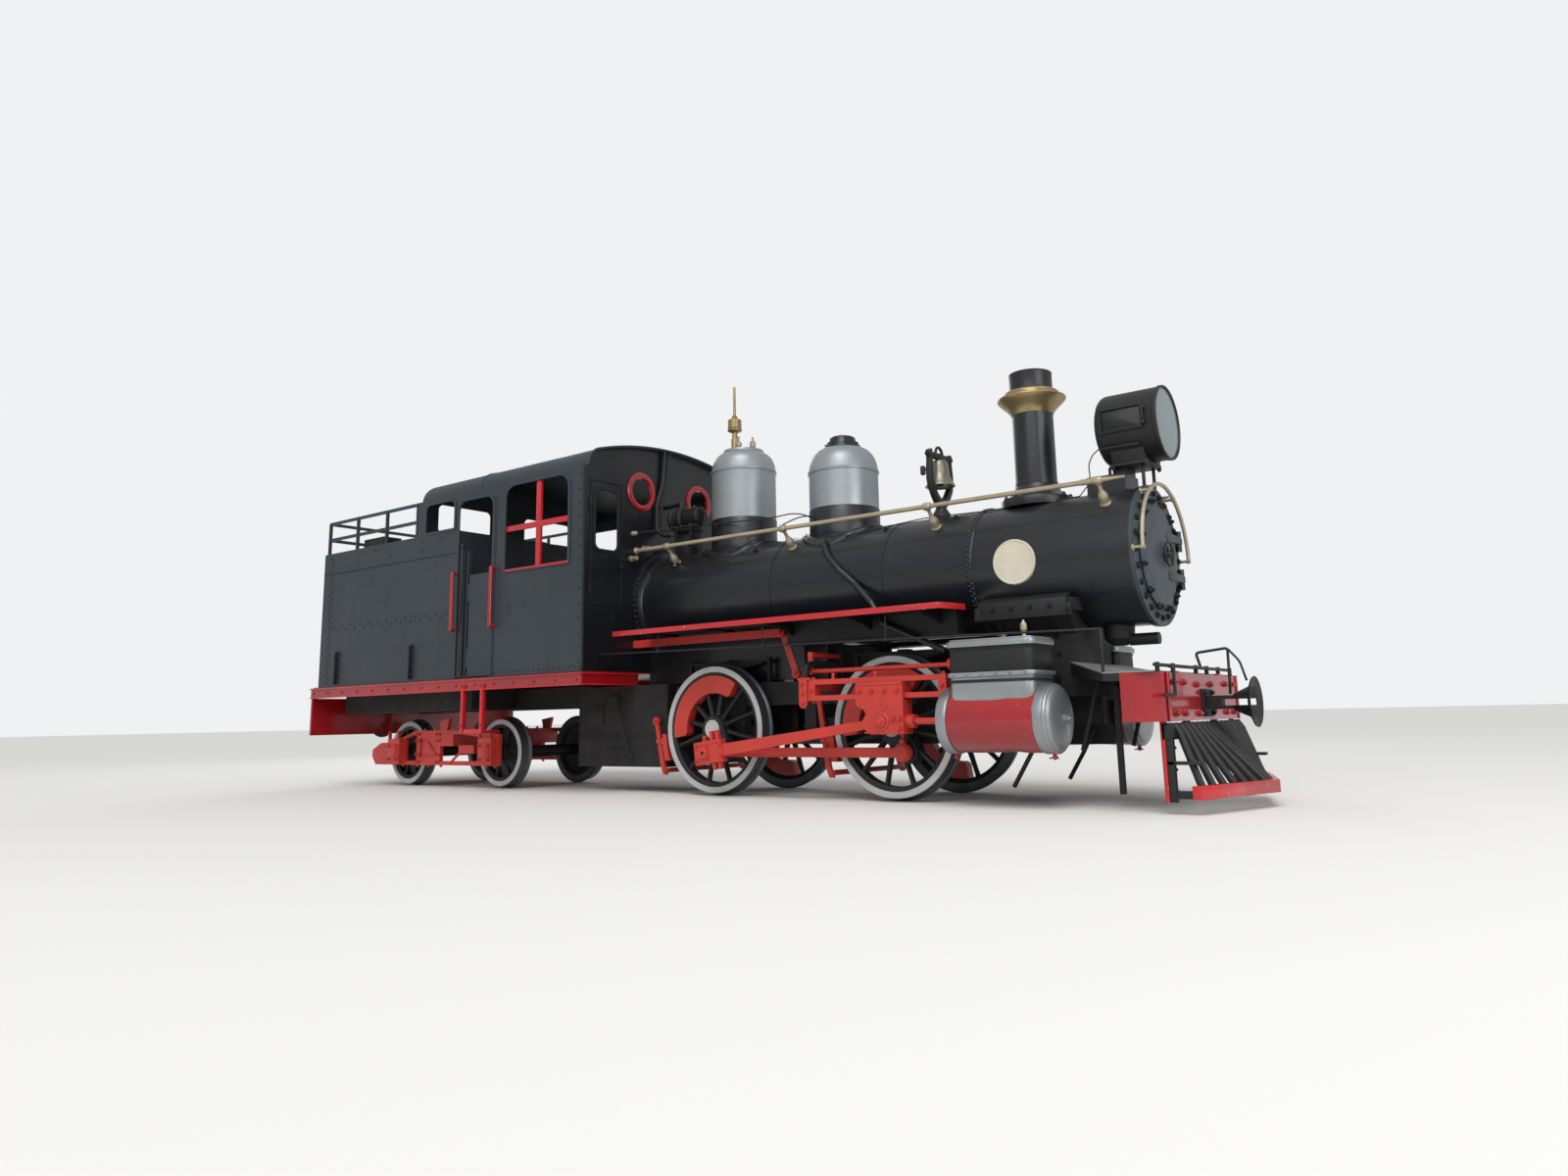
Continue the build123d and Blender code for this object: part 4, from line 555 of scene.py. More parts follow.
def crescent(x, z, inner, outer, middle, spread, y0, y1, ends=26):
    """Counterweight between two arcs with rounded inner corners."""
    steps = 28
    first, last = middle - spread / 2, middle + spread / 2
    outline = []
    for i in range(steps + 1):
        t = radians(first + spread * i / steps)
        outline.append((x + outer * cos(t), z + outer * sin(t)))
    inset = degrees(ends / inner)
    outline.append((x + (inner + ends) * cos(radians(last)), z + (inner + ends) * sin(radians(last))))
    for i in range(steps + 1):
        t = radians(last - inset - (spread - 2 * inset) * i / steps)
        outline.append((x + inner * cos(t), z + inner * sin(t)))
    outline.append((x + (inner + ends) * cos(radians(first)), z + (inner + ends) * sin(radians(first))))
    return swept(outline, y0, y1, "xz")


def wheel_set(name, x, pin_reach):
    """A driving axle: both wheels with cranks, pins and red counterweights."""
    z = driver_radius
    inner = driver_radius - tyre_thickness - rim_depth
    shapes = []
    for side, sign in side_sign.items():
        angle = radians(crank_angle[side])
        shapes += tyre_shapes(x, driver_radius, sign)
        for i in range(driver_spokes):
            turn = angle + pi / driver_spokes + 2 * pi * i / driver_spokes
            shapes.append((spoke(x, z, sign * 546, turn, 96, inner + 8, (25, 38), (18, 26)), 2))
        hub = [(sign * 470, 84), (sign * 470, 126), (sign * 500, 140), (sign * 566, 132), (sign * 606, 122),
            (sign * 616, 116), (sign * 616, 84)]
        shapes.append((turned(hub, (x, 0, z), across, 48), 2))
        disc = [(sign * 600, 0), (sign * 600, 83), (sign * 620, 82), (sign * 626, 76), (sign * 626, 0)]
        shapes.append((turned(disc, (x, 0, z), across, 40), 1))
        px, pz = x + crank_throw * cos(angle), z + crank_throw * sin(angle)
        web = []
        for turn_at, radius, cx, cz in ((pi, 118, x, z), (0, 92, px, pz)):
            for i in range(9):
                t = angle + turn_at - pi / 2 + pi * i / 8
                web.append((cx + radius * cos(t), cz + radius * sin(t)))
        shapes.append((swept(web, sign * 500, sign * 612, "xz"), 2))
        boss = [(sign * 480, 0), (sign * 480, 92), (sign * 612, 92), (sign * 618, 86), (sign * 618, 0)]
        shapes.append((turned(boss, (px, 0, pz), across, 40), 2))
        pin = [(sign * 610, 0), (sign * 610, 48), (sign * 688.5, 48), (sign * 688.5, 58), (sign * 700, 58),
            (sign * 702, 54), (sign * 702, 40), (sign * pin_reach, 40), (sign * (pin_reach + 0.2), 0)]
        shapes.append((turned(pin, (px, 0, pz), across, 32), 3))
        weight = crescent(x, z, inner - 150, inner + 7, crank_angle[side] + 180, 132, sign * 505,
            sign * 600)
        shapes.append((weight, 3))
    axle = [(-602, 0), (-602, 80), (602, 80), (602, 0)]
    shapes.append((turned(axle, (x, 0, z), across, 32), 2))
    piece(name + "_wheelset", [tread_steel, tyre_grey, iron_black, motion_red], shapes, replaces=(name,),
        body=name)


wheel_set("driver_rear", 0, 814)
wheel_set("driver_front", driver_base, 701.5)

for name, x in truck_axles.items():
    shapes = []
    z = truck_wheel_radius
    inner = z - tyre_thickness - rim_depth
    for side, sign in side_sign.items():
        shapes += tyre_shapes(x, z, sign)
        plate = [(sign * 540, 60), (sign * 572, 70), (sign * 560, 150), (sign * 528, inner - 10),
            (sign * 530, inner + 4), (sign * 500, inner + 4), (sign * 508, inner - 20), (sign * 536, 140),
            (sign * 520, 60)]
        shapes.append((turned(plate, (x, 0, z), across, 48), 2))
        hub = [(sign * 474, 60), (sign * 474, 84), (sign * 590, 90), (sign * 600, 84), (sign * 600, 60)]
        shapes.append((turned(hub, (x, 0, z), across, 40), 2))
        for i in range(8):
            turn = 2 * pi * (i + 0.5) / 8
            shapes.append((spoke(x, z, sign * 560, turn, 80, inner + 2, (22, 22), (15, 16)), 2))
    journal = [(-776, 0), (-776, 44), (-604, 45), (-596, 62), (596, 62), (604, 45), (776, 44), (776, 0)]
    shapes.append((turned(journal, (x, 0, z), across, 32), 2))
    piece(name + "_wheelset", [tread_steel, tyre_grey, iron_black], shapes, replaces=(name,), body=name)


# Finishes of the solids that are shown as they are
carried = {
    boiler_black: ("boiler", "smokebox", "chimney", "steam_dome", "sand_dome", "headlight",
        "turbo_generator", "cab_front", "sand_pipes", "bell_yoke"),
    cab_slate: ("cab_side_right", "cab_side_left", "cab_rear", "cab_roof", "cab_door_right",
        "cab_door_left", "bunker", "bunker_fence"),
    under_black: ("smokebox_saddle", "ashpan", "main_frame", "cab_floor", "springs", "guard_irons",
        "well_tanks"),
    iron_black: ("pilot", "front_coupler", "rear_coupler", "uncoupling_lever", "cinder_hopper",
        "running_board_right", "running_board_left"),
    motion_red: ("coupling_rod_right", "coupling_rod_left", "main_rod_right", "main_rod_left",
        "crosshead_right", "crosshead_left", "guides_right", "guides_left", "reach_rod", "truck_frame",
        "brake_rigging", "valve_rods"),
    gloss_red: ("buffer_beam", "rear_beam", "footplate", "grab_rails", "cylinder_right", "cylinder_left"),
    dull_brass: ("handrails",),
    bell_metal: ("bell",),
    deck_grey: ("front_deck",),
    ring_grey: ("smokebox_door",)}
for finish, names in carried.items():
    for name in names:
        shown = nodes[name].data
        shown.materials.clear()
        shown.materials.append(finish)


# Outlines used by the trim
def rounded_box(a0, a1, b0, b1, radii, steps=6):
    """Rectangle with a radius at each corner: upper far, upper near, lower near, lower far."""
    radii = radii if isinstance(radii, tuple) else (radii,) * 4
    corners = ((a1, b1, -1, -1, 0), (a0, b1, 1, -1, 90), (a0, b0, 1, 1, 180), (a1, b0, -1, 1, 270))
    outline = []
    for (a, b, sa, sb, first), radius in zip(corners, radii):
        for i in range(steps + 1):
            t = radians(first + 90 * i / steps)
            outline.append((a + sa * radius + radius * cos(t), b + sb * radius + radius * sin(t)))
    return outline


def ring_plate(outer, inner, start, end, plane):
    """A flat frame between two outlines that have as many points each."""
    points = swept(outer, start, end, plane)[0] + swept(inner, start, end, plane)[0]
    n = len(outer)
    faces = []
    for i in range(n):
        j = (i + 1) % n
        faces += [(i, j, 2 * n + j, 2 * n + i), (n + i, n + j, 3 * n + j, 3 * n + i), (i, j, n + j, n + i),
            (2 * n + i, 2 * n + j, 3 * n + j, 3 * n + i)]
    return points, faces


def roof_arc(x, inset=0, steps=14):
    """Places along the roof's outside at one x, from the right eave to the left."""
    corner, rise = 190, roof_crown_z - eaves_z
    flat = cab_half_width - corner
    crown = (flat ** 2 + rise ** 2 - corner ** 2) / (2 * (rise - corner))
    start = atan2(crown - rise, flat)
    low = eaves_z + rise - crown
    right_half = []
    for i in range(steps):
        t = start * i / steps
        right_half.append((x, -flat - (corner - inset) * cos(t), eaves_z + (corner - inset) * sin(t)))
    for i in range(steps + 1):
        t = start + (pi / 2 - start) * i / steps
        right_half.append((x, -(crown - inset) * cos(t), low + (crown - inset) * sin(t)))
    return right_half + [(x, -y, z) for x, y, z in reversed(right_half[:-1])]


# Cab sides: window and doorway frames, red mullions, black door post
frames, reds, blacks = [], [], []
for sign in (-1, 1):
    skin, proud, inside = sign * 1199, sign * 1209, sign * 1186
    frames.append(ring_plate(rounded_box(-2264, -1261, 2131, 3036, (158, 158, 24, 24)),
        rounded_box(-2228, -1297, 2167, 3013, (128, 128, 5, 5)), skin, proud, "xz"))
    frames.append(ring_plate(rounded_box(-3012, -2398, 1125, 2996, (140, 120, 5, 5)),
        rounded_box(-2985, -2436, 1135, 2961, (108, 60, 5, 5)), skin, proud, "xz"))
    frames.append(ring_plate(rounded_box(-3612, -3058, 2673, 3026, (90, 96, 20, 20)),
        rounded_box(-3584, -3087, 2702, 2998, (68, 68, 5, 5)), skin, proud, "xz"))
    frames.append(pipe([(-5592, sign * 1192, 2668), (-3006, sign * 1192, 2668)], 13, 10))
    frames.append(block(-2392, -2378, skin, sign * 1206, 1130, 2960))
    reds.append(block(-1776, -1706, sign * 1195, sign * 1166, 2150, 3014))
    reds.append(block(-2229, -1296, sign * 1197, sign * 1170, 2551, 2607))
    reds.append(block(-2240, -1288, inside, sign * 1212, 2146, 2166))
    blacks.append(block(-2948, -2868, skin, sign * 1214, 1128, 2440))
    blacks.append(pipe([(-2908, sign * 1216, 1700), (-2908, sign * 1216, 2478)], 15))
    knob = [(24 * sin(t), 24 * cos(t)) for t in (pi * (i / 8 - 0.5) for i in range(9))]
    blacks.append(turned(knob, (-2908, sign * 1216, 2484), up, 16))
    for x in (-5212, -3756):
        blacks.append(block(x - 28, x + 28, sign * 1198, sign * 1208, 1135, 1515))
        blacks.append(block(x - 6, x + 6, sign * 1198, sign * 1243, 1135, 1500))
frames.append(pipe(roof_arc(-2652, -1), 8, 8))
frames.append(pipe(roof_arc(-1026, -2), 11, 8))
frames.append(pipe([(-3600, 0, roof_crown_z + 2), (-1030, 0, roof_crown_z + 2)], 9, 8))
frames.append(turned([(0, 0), (0, 52), (12, 56), (20, 40), (44, 38), (50, 60), (62, 50), (68, 0)],
    (-1995, -330, 3381), up, 24))
piece("cab_trim", cab_slate, frames, bevel=2)
piece("window_bars", edge_red, reds, bevel=4)
piece("door_posts", iron_black, blacks, bevel=3)

# Rivets of the bunker and the cab plates
side_y = -cab_half_width
plate_rivets = row((-5452, side_y, 1165), (-5452, side_y, 2615), 21, right)
plate_rivets += row((-5412, side_y, 1200), (-5412, side_y, 2580), 20, right)
plate_rivets += [(-5338 + 89.6 * i, side_y, 1784 + (22 if i % 2 == 0 else -22), *right) for i in range(26)]
for x, z in ((-4868, 2619), (-4859, 2516), (-4556, 2623), (-4254, 2620), (-4253, 2521), (-3664, 2623),
        (-3663, 2520), (-3290, 2625), (-2149, 1793), (-2153, 1724), (-1909, 1789)):
    plate_rivets.append((x, side_y, z, *right))
plate_rivets += row((-1130, side_y, 1200), (-1130, side_y, 2980), 14, right)
plate_rivets += [(x + dx, -1208, z, *right) for x in (-5212, -3756) for dx in (-17, 17)
    for z in (1180, 1270, 1360, 1450)]
plate_rivets = both_sides(plate_rivets)
for y in (-1150, 1150, 0):
    plate_rivets += row((bunker_rear_x, y, 1170), (bunker_rear_x, y, 2610), 19, back)
plate_rivets += row((bunker_rear_x, -1080, 1784), (bunker_rear_x, 1080, 1784), 23, back)
rivets("plate_rivets", iron_black, 29, 9, plate_rivets)
seam_rivets = both_sides(row((-5588, side_y, 2430), (-3016, side_y, 2430), 70, right))
seam_rivets += row((bunker_rear_x, -1180, 2430), (bunker_rear_x, 1180, 2430), 66, back)
seam_rivets += both_sides(row((-2350, side_y, 1150), (-1110, side_y, 1150), 18, right))
rivets("seam_rivets", iron_black, 19, 8, seam_rivets)

# Bunker top: filler hatch, tool boxes beside the coal pit, and coal plates
hatch = [(0, 0), (0, 250), (60, 250), (70, 262), (96, 262), (112, 240), (118, 60), (150, 50), (156, 0)]
piece("bunker_top_gear", iron_black, [
    turned(hatch, (-5440, 0, 2662), up, 40),
    block(-5230, -4400, 880, 1130, bunker_top_z, 2960),
    block(-5250, -4380, 868, 1142, 2956, 2974),
    block(-4150, -3900, 880, 1110, bunker_top_z, 2860),
    block(-4900, -4500, -1130, -900, bunker_top_z, 2790),
    block(-5470, -5410, -290, -240, bunker_top_z, 2740)], bevel=6)

# Red edge channel: flanges, bolts, step treads
lips = []
for sign in (-1, 1):
    for low, high in ((1086, 1101), (984, 998)):
        lips.append(block(-5736, -1072, sign * 1204, sign * 1226, low, high))
    for x in (-2820, -2510):
        lips.append(block(x - 18, x + 18, sign * 1196, sign * 1232, 556, 1010))
    lips.append(block(-2838, -2492, sign * 1216, sign * 1224, 560, 600))
for level in (1088, 986):
    lips.append(block(-1075, -1060, -1210, -480, level, level + 13))
    lips.append(block(-1075, -1060, 480, 1210, level, level + 13))
piece("edge_channel_lips", edge_red, lips, bevel=3)
channel_bolts = both_sides(row((-5680, -1208, 1042), (-1140, -1208, 1042), 16, right))
channel_bolts += both_sides([(x, -1232, z, *right) for x in (-2820, -2510) for z in (640, 1030)])
channel_bolts += row((beam_rear_x, -1120, 1040), (beam_rear_x, 1120, 1040), 9, back)
channel_bolts += [(beam_rear_x, y, z, *back) for y in (-1120, -700, -260, 260, 700, 1120)
    for z in (640, 860)]
bolts("channel_bolts", edge_red, 28, 12, channel_bolts)

# Cab front: fireman's doors, red porthole rings, pipes up to the roof, rods through the plate
panels, rings, black_pipes, brass_bits = [], [], [], []
for sign in (-1, 1):
    inner, outer = sorted((sign * 694, sign * 1108))
    panels.append(ring_plate(rounded_box(inner, outer, 1744, 2951, 12),
        rounded_box(inner + 12, outer - 12, 1756, 2939, 10), -1090, -1081, "yz"))
    inner, outer = sorted((sign * 729, sign * 1071))
    panels.append(ring_plate(rounded_box(inner, outer, 2254, 2886, 84),
        rounded_box(inner + 27, outer - 27, 2281, 2859, 59), -1099, -1078, "yz"))
    for z in (1880, 2700):
        panels.append(block(cab_front_x, -1076, sign * 1096, sign * 1126, z - 60, z + 60))
    panels.append(turned([(-1090, 0), (-1090, 14), (-1050, 14), (-1046, 22), (-1030, 22), (-1026, 0)],
        (0, sign * 735, 2120), front, 16))
    rings.append(turned([(-1100, 136), (-1100, 189), (-1090, 189), (-1090, 197), (-1078, 197), (-1072, 188),
        (-1070, 160), (-1074, 140), (-1082, 136)], (0, sign * 429, 2923), front, 56))
    panels.append(block(-1097, -1070, sign * 1182, sign * 1203, 1125, 3060))
for shift in (0, 62):
    riser = [(-905, -236 + shift * 0.5, 2470), (-1000, -236 + shift, 2500), (-1058, -236 + shift, 2560),
        (-1058, -236 + shift, 2820), (-1058, -150 + shift, 3040), (-1058, -130 + shift, 3300),
        (-1050, -130 + shift, 3384)]
    black_pipes.append(pipe(rounded(riser, 70), 15 if shift else 19))
black_pipes.append(pipe([(-1090, -544, 2482), (-420, -330, 2520)], 7, 8))
black_pipes.append(pipe([(-1090, 394, 2346), (-700, 480, 2300), (-500, 520, 2180)], 12))
black_pipes.append(block(-1092, -1000, -180, 180, 2320, 2352))
brass_bits.append(turned([(-1090, 0), (-1090, 24), (-1064, 22), (-1050, 12), (-1040, 20), (-1026, 0)],
    (0, -544, 2482), front, 20))
for y, z in ((-394, 2346), (-566, 2226), (394, 2346)):
    brass_bits.append(turned([(-1090, 0), (-1090, 30), (-1074, 30), (-1074, 16), (-1030, 16), (-1026, 24),
        (-1008, 24), (-1004, 0)], (0, y, z), front, 20))
piece("cab_front_trim", iron_black, panels, bevel=2)
piece("porthole_rings", gloss_red, rings)
piece("cab_front_pipes", iron_black, black_pipes)
piece("cab_front_fittings", dull_brass, brass_bits)
ring_screws = [(-1071, y + a, 2923 + b, *front) for y in (-429, 429) for a, b in around(10, 172)]
rivets("porthole_screws", gloss_red, 16, 5, ring_screws)

# Inside the cab: backhead fittings, seats and levers
backhead = -1780
fire_door = [(backhead - 2, 0), (backhead - 2, 235), (backhead - 26, 225), (backhead - 30, 0)]
cab_iron = [
    turned(fire_door, (0, 0, 1560), front, 40),
    block(backhead - 14, backhead + 2, -470, 470, 1180, 1260),
    pipe([(backhead, 0, 2080), (backhead - 120, 0, 2090)], 28),
    pipe([(backhead - 95, 0, 2090), (backhead - 110, -330, 2150)], 16),
    block(-2120, -1800, -1120, -780, 1122, 1620),
    block(-2120, -1800, 780, 1120, 1122, 1620),
    pipe([(-2050, -700, 1130), (-1960, -700, 2080)], 18),
    block(-2240, -1700, -716, -684, 1122, 1150)]
cab_brass = []
for y, z in ((-150, 2200), (150, 2200)):
    cab_brass.append(turned([(backhead + 2, 0), (backhead + 2, 78), (backhead - 40, 78),
        (backhead - 46, 66), (backhead - 46, 0)], (0, y, z), front, 32))
for y in (-300, 300):
    cab_brass.append(pipe([(backhead, y, 1700), (backhead - 60, y, 1700), (backhead - 60, y, 2040),
        (backhead, y, 2040)], 14))
piece("cab_fittings_iron", iron_black, cab_iron, bevel=5)
piece("cab_fittings_brass", dull_brass, cab_brass)
backhead_studs = [(backhead, a, boiler_z + b, *back) for a, b in around(28, 460) if b > -230]
rivets("backhead_studs", iron_black, 30, 12, backhead_studs)

# Handrails: rail with collars, bottle-shaped feet and end fittings
rail_y, rail_z = 500, 2312
rails = []
for sign in (-1, 1):
    rails.append(turned([(cab_front_x, 0), (cab_front_x, 34), (-1075, 34), (-1068, 22), (-1060, 19),
        (3520, 19), (3540, 23), (3640, 23), (3800, 12), (3862, 9), (3862, 0)], (0, sign * rail_y, rail_z),
        front, 20))
    for x in (-668, 750, 2226, 3658):
        radius = smokebox_radius if x > 2560 else boiler_radius
        lean = Vector((0, sign * rail_y, rail_z - boiler_z)).normalized()
        start = radius - 6
        reach = hypot(rail_y, rail_z - boiler_z)
        foot = [(start, 0), (start, 44), (start + 12, 44), (start + 18, 30), (start + 60, 37),
            (start + 86, 36), (start + 110, 24), (start + 130, 16), (reach - 40, 15), (reach - 30, 25),
            (reach, 27), (reach, 0)]
        rails.append(turned(foot, (x, 0, boiler_z), tuple(lean), 20))
        rails.append(turned([(-34, 0), (-34, 26), (-24, 31), (24, 31), (34, 26), (34, 0)],
            (x, sign * rail_y, rail_z), front, 20))
arch = [(3963, a, boiler_z + b) for a, b in around(72, 530)[:37]]
rails.append(pipe(arch, 15))
for turn in (0, 60, 120, 180):
    t = radians(turn)
    y, z = 524 * cos(t), boiler_z + 524 * sin(t)
    rails.append(turned([(3888, 0), (3888, 24), (3896, 24), (3902, 12), (3944, 11), (3950, 19), (3976, 19),
        (3980, 0)], (0, y, z), front, 16))
piece("handrail_set", dull_brass, rails, replaces=("handrails",))

# Steam dome: black foot on a saddle flange, aluminium drum with a bead, brass valves and whistle
def saddle_ring(x, inner, outer, lift, steps=72):
    """A flat ring bent over the boiler's top, standing a little above its sheet."""
    points, faces = [], []
    for i in range(steps):
        t = 2 * pi * i / steps
        for radius, rise in ((inner, -3), (outer, -3), (outer, lift - 5), (outer - 5, lift), (inner, lift)):
            y = radius * sin(t)
            points.append((x + radius * cos(t), y, boiler_z + sqrt((boiler_radius + rise) ** 2 - y * y)))
    for i in range(steps):
        j = (i + 1) % steps
        for k in range(5):
            m = (k + 1) % 5
            faces.append((5 * i + k, 5 * j + k, 5 * j + m, 5 * i + m))
    return points, faces


def saddle_bolt_places(x, radius, count, lift):
    made = []
    for i in range(count):
        t = 2 * pi * (i + 0.5) / count
        y = radius * sin(t)
        top = sqrt((boiler_radius + lift) ** 2 - y * y)
        made.append((x + radius * cos(t), y, boiler_z + top, 0, y, top))
    return made


def dome_piece(name, x, radius, foot_top, drum_top, cap_top, crown, extra):
    foot = [(2168, 0), (2168, radius + 6), (foot_top - 8, radius + 6), (foot_top - 2, radius + 3),
        (foot_top, radius), (foot_top, 0)]
    drum = [(foot_top - 2, 0), (foot_top - 2, radius), (drum_top, radius), (drum_top + 3, radius + 9),
        (drum_top + 22, radius + 10), (drum_top + 27, radius + 2)]
    drum += bulge(drum_top + 27, cap_top - drum_top - 27, radius, crown, 1, 8, 9)
    drum += [(cap_top, crown), (cap_top, 0)]
    centre = (x, 0, 0)
    shapes = [(turned(foot, centre, up, 72), 0), (turned(drum, centre, up, 72), 1),
        (saddle_ring(x, radius - 4, radius + 74, 22), 0)]
    piece(name + "_dressed", [boiler_black, aluminium_paint, dull_brass, polished_brass], shapes + extra,
        replaces=(name,))


cap = [(3222, 0), (3222, 200), (3236, 204), (3256, 198), (3262, 150), (3262, 0)]
tops = [(turned(cap, (steam_dome_x, 0, 0), up, 48), 1)]
for x, y, tall in ((-110, -60, 0), (-30, 60, 20)):
    valve = [(3256, 0), (3256, 34), (3272, 34), (3276, 22), (3300, 22), (3304, 30), (3330 + tall, 30),
        (3344 + tall, 20), (3352 + tall, 10), (3392, 9), (3396, 14), (3402, 12), (3404, 0)]
    tops.append((turned(valve, (x, y, 0), up, 20), 2))
whistle = [(3256, 0), (3256, 46), (3280, 46), (3284, 37), (3400, 37), (3404, 30), (3440, 27), (3470, 25),
    (3476, 54), (3486, 72), (3500, 74), (3506, 64), (3512, 68), (3596, 68), (3606, 54), (3612, 32),
    (3624, 26), (3632, 30), (3640, 24), (3648, 14), (3936, 13), (3946, 8), (3950, 0)]
tops.append((turned(whistle, (-210, 0, 0), up, 28), 3))
dome_piece("steam_dome", steam_dome_x, 315, 2550, 3016, 3225, 190, tops)
lid = [(3074, 0), (3074, 168), (3084, 172), (3100, 168), (3112, 152), (3132, 148), (3136, 128), (3150, 124),
    (3176, 120), (3188, 104), (3190, 0)]
grip = [(sand_dome_x, y, z) for y, z in ((-40, 3180), (-40, 3206), (40, 3206), (40, 3180))]
lids = [(turned(lid, (sand_dome_x, 0, 0), up, 48), 0), (pipe(rounded(grip, 12), 7, 8), 0)]
dome_piece("sand_dome", sand_dome_x, 319, 2500, 2832, 3080, 150, lids)
foot_bolts = saddle_bolt_places(steam_dome_x, 355, 22, 22) + saddle_bolt_places(sand_dome_x, 359, 22, 22)
rivets("dome_foot_rivets", boiler_black, 20, 8, foot_bolts)
lid_bolts = [(sand_dome_x + a, b, 3110, *up) for a, b in around(8, 158)]
bolts("sand_lid_bolts", iron_black, 16, 8, lid_bolts)

# Chimney: black cast foot and tube, flared brass rim, black top piece
foot = [(2264, 0), (2264, 288), (2312, 292), (2330, 288), (2344, 262), (2364, 222), (2400, 190),
    (2434, 176), (2454, 167), (2454, 0)]
tube = [(2450, 0), (2450, 171), (2470, 171), (2474, 166), (3050, 166), (3050, 0)]
bowl = [(3040, 0), (3040, 170), (3054, 176), (3072, 186), (3096, 206), (3124, 236), (3148, 260),
    (3162, 272), (3170, 277), (3180, 276), (3186, 262), (3190, 240), (3196, 228), (3204, 223), (3222, 223),
    (3230, 216), (3234, 200), (3238, 186), (3240, 180), (3240, 0)]
crown = [(3234, 136), (3234, 184), (3242, 181), (3250, 175), (3380, 174), (3388, 177), (3393, 173),
    (3393, 140), (3360, 136)]
# Soot-black plug inside the top: soot, and painted shade standing for the deep open bore
bore_shade_plug = [(3300, 0), (3300, 137), (3240, 137), (3240, 0)]
shapes = []
for profile, slot in ((foot, 0), (tube, 0), (bowl, 1), (crown, 0), (bore_shade_plug, 2)):
    shapes.append((turned(profile, (stack_x, 0, 0), up, 72), slot))
piece("chimney_dressed", [boiler_black, polished_brass, soot_and_painted_shade], shapes, replaces=("chimney",))
foot_places = [(stack_x + a, b, 2338, *up) for a, b in around(12, 262, pi / 12)]
bolts("chimney_foot_bolts", iron_black, 30, 16, foot_places)

# Bell: turned bronze with its clapper, hung on trunnions in a curved yoke
bell_centre = (bell_x, 0, bell_pivot_z)
bell_wall = [(-30, 0), (-30, 44), (-38, 62), (-56, 74), (-80, 79), (-140, 83), (-170, 88), (-200, 99),
    (-230, 113), (-248, 126), (-258, 131), (-262, 130), (-261, 120), (-244, 108), (-220, 96), (-190, 84),
    (-140, 70), (-80, 64), (-64, 50), (-58, 0)]
clapper = [(-262, 0), (-260, 20), (-248, 27), (-232, 27), (-220, 16), (-214, 8), (-60, 8), (-60, 0)]
crown_nut = [(-34, 0), (-34, 30), (-14, 26), (24, 26), (32, 18), (36, 0)]
headstock = rounded_box(-138, 138, bell_pivot_z - 26, bell_pivot_z + 24, 22)
hanger = [(bell_x, 62 * cos(pi * i / 10), bell_pivot_z + 8 + 78 * sin(pi * i / 10)) for i in range(11)]
bell_shapes = [
    (turned(bell_wall, bell_centre, up, 56), 0),
    (turned(clapper, bell_centre, up, 20), 1),
    (turned(crown_nut, bell_centre, up, 24), 1),
    (swept(headstock, bell_x - 20, bell_x + 20, "yz"), 1),
    (pipe([(bell_x, -174, bell_pivot_z), (bell_x, 174, bell_pivot_z)], 14, 20), 1),
    (pipe(hanger, 13), 1)]
piece("bell_dressed", [bell_metal, iron_black], bell_shapes, bevel=1.5, replaces=("bell",), body="bell")
arm = [(0, -470), (20, -470), (70, -430), (130, -360), (176, -290), (196, -220), (198, -150), (186, -70),
    (182, -30), (192, 10), (184, 38), (168, 48), (152, 38), (146, 8), (150, -40), (152, -150), (150, -210),
    (130, -270), (84, -330), (30, -372), (0, -380)]
yoke = [turned([(2262, 0), (2262, 80), (2330, 80), (2340, 72), (2380, 48), (2420, 38), (2420, 0)],
    (bell_x, 0, 0), up, 32)]
for sign in (-1, 1):
    yoke.append(swept([(sign * y, bell_pivot_z + z) for y, z in arm], bell_x - 26, bell_x + 26, "yz"))
    yoke.append(turned([(150, 0), (150, 30), (196, 30), (202, 24), (202, 0)], (bell_x, 0, bell_pivot_z + 4),
        (0, sign, 0), 24))
cup = [(-182, 0), (-182, 10), (-172, 22), (-108, 22), (-100, 14), (-100, 0)]
yoke.append(turned(cup, (bell_x - 60, -184, bell_pivot_z), up, 20))
yoke.append(pipe([(bell_x - 62, -184, bell_pivot_z - 140), (bell_x - 10, -186, bell_pivot_z - 128)], 9))
piece("bell_yoke_dressed", iron_black, yoke, bevel=5, replaces=("bell_yoke",))
bolts("bell_yoke_nuts", iron_black, 30, 14, [(bell_x, sign * 202, bell_pivot_z + 4, 0, sign, 0)
    for sign in (-1, 1)])

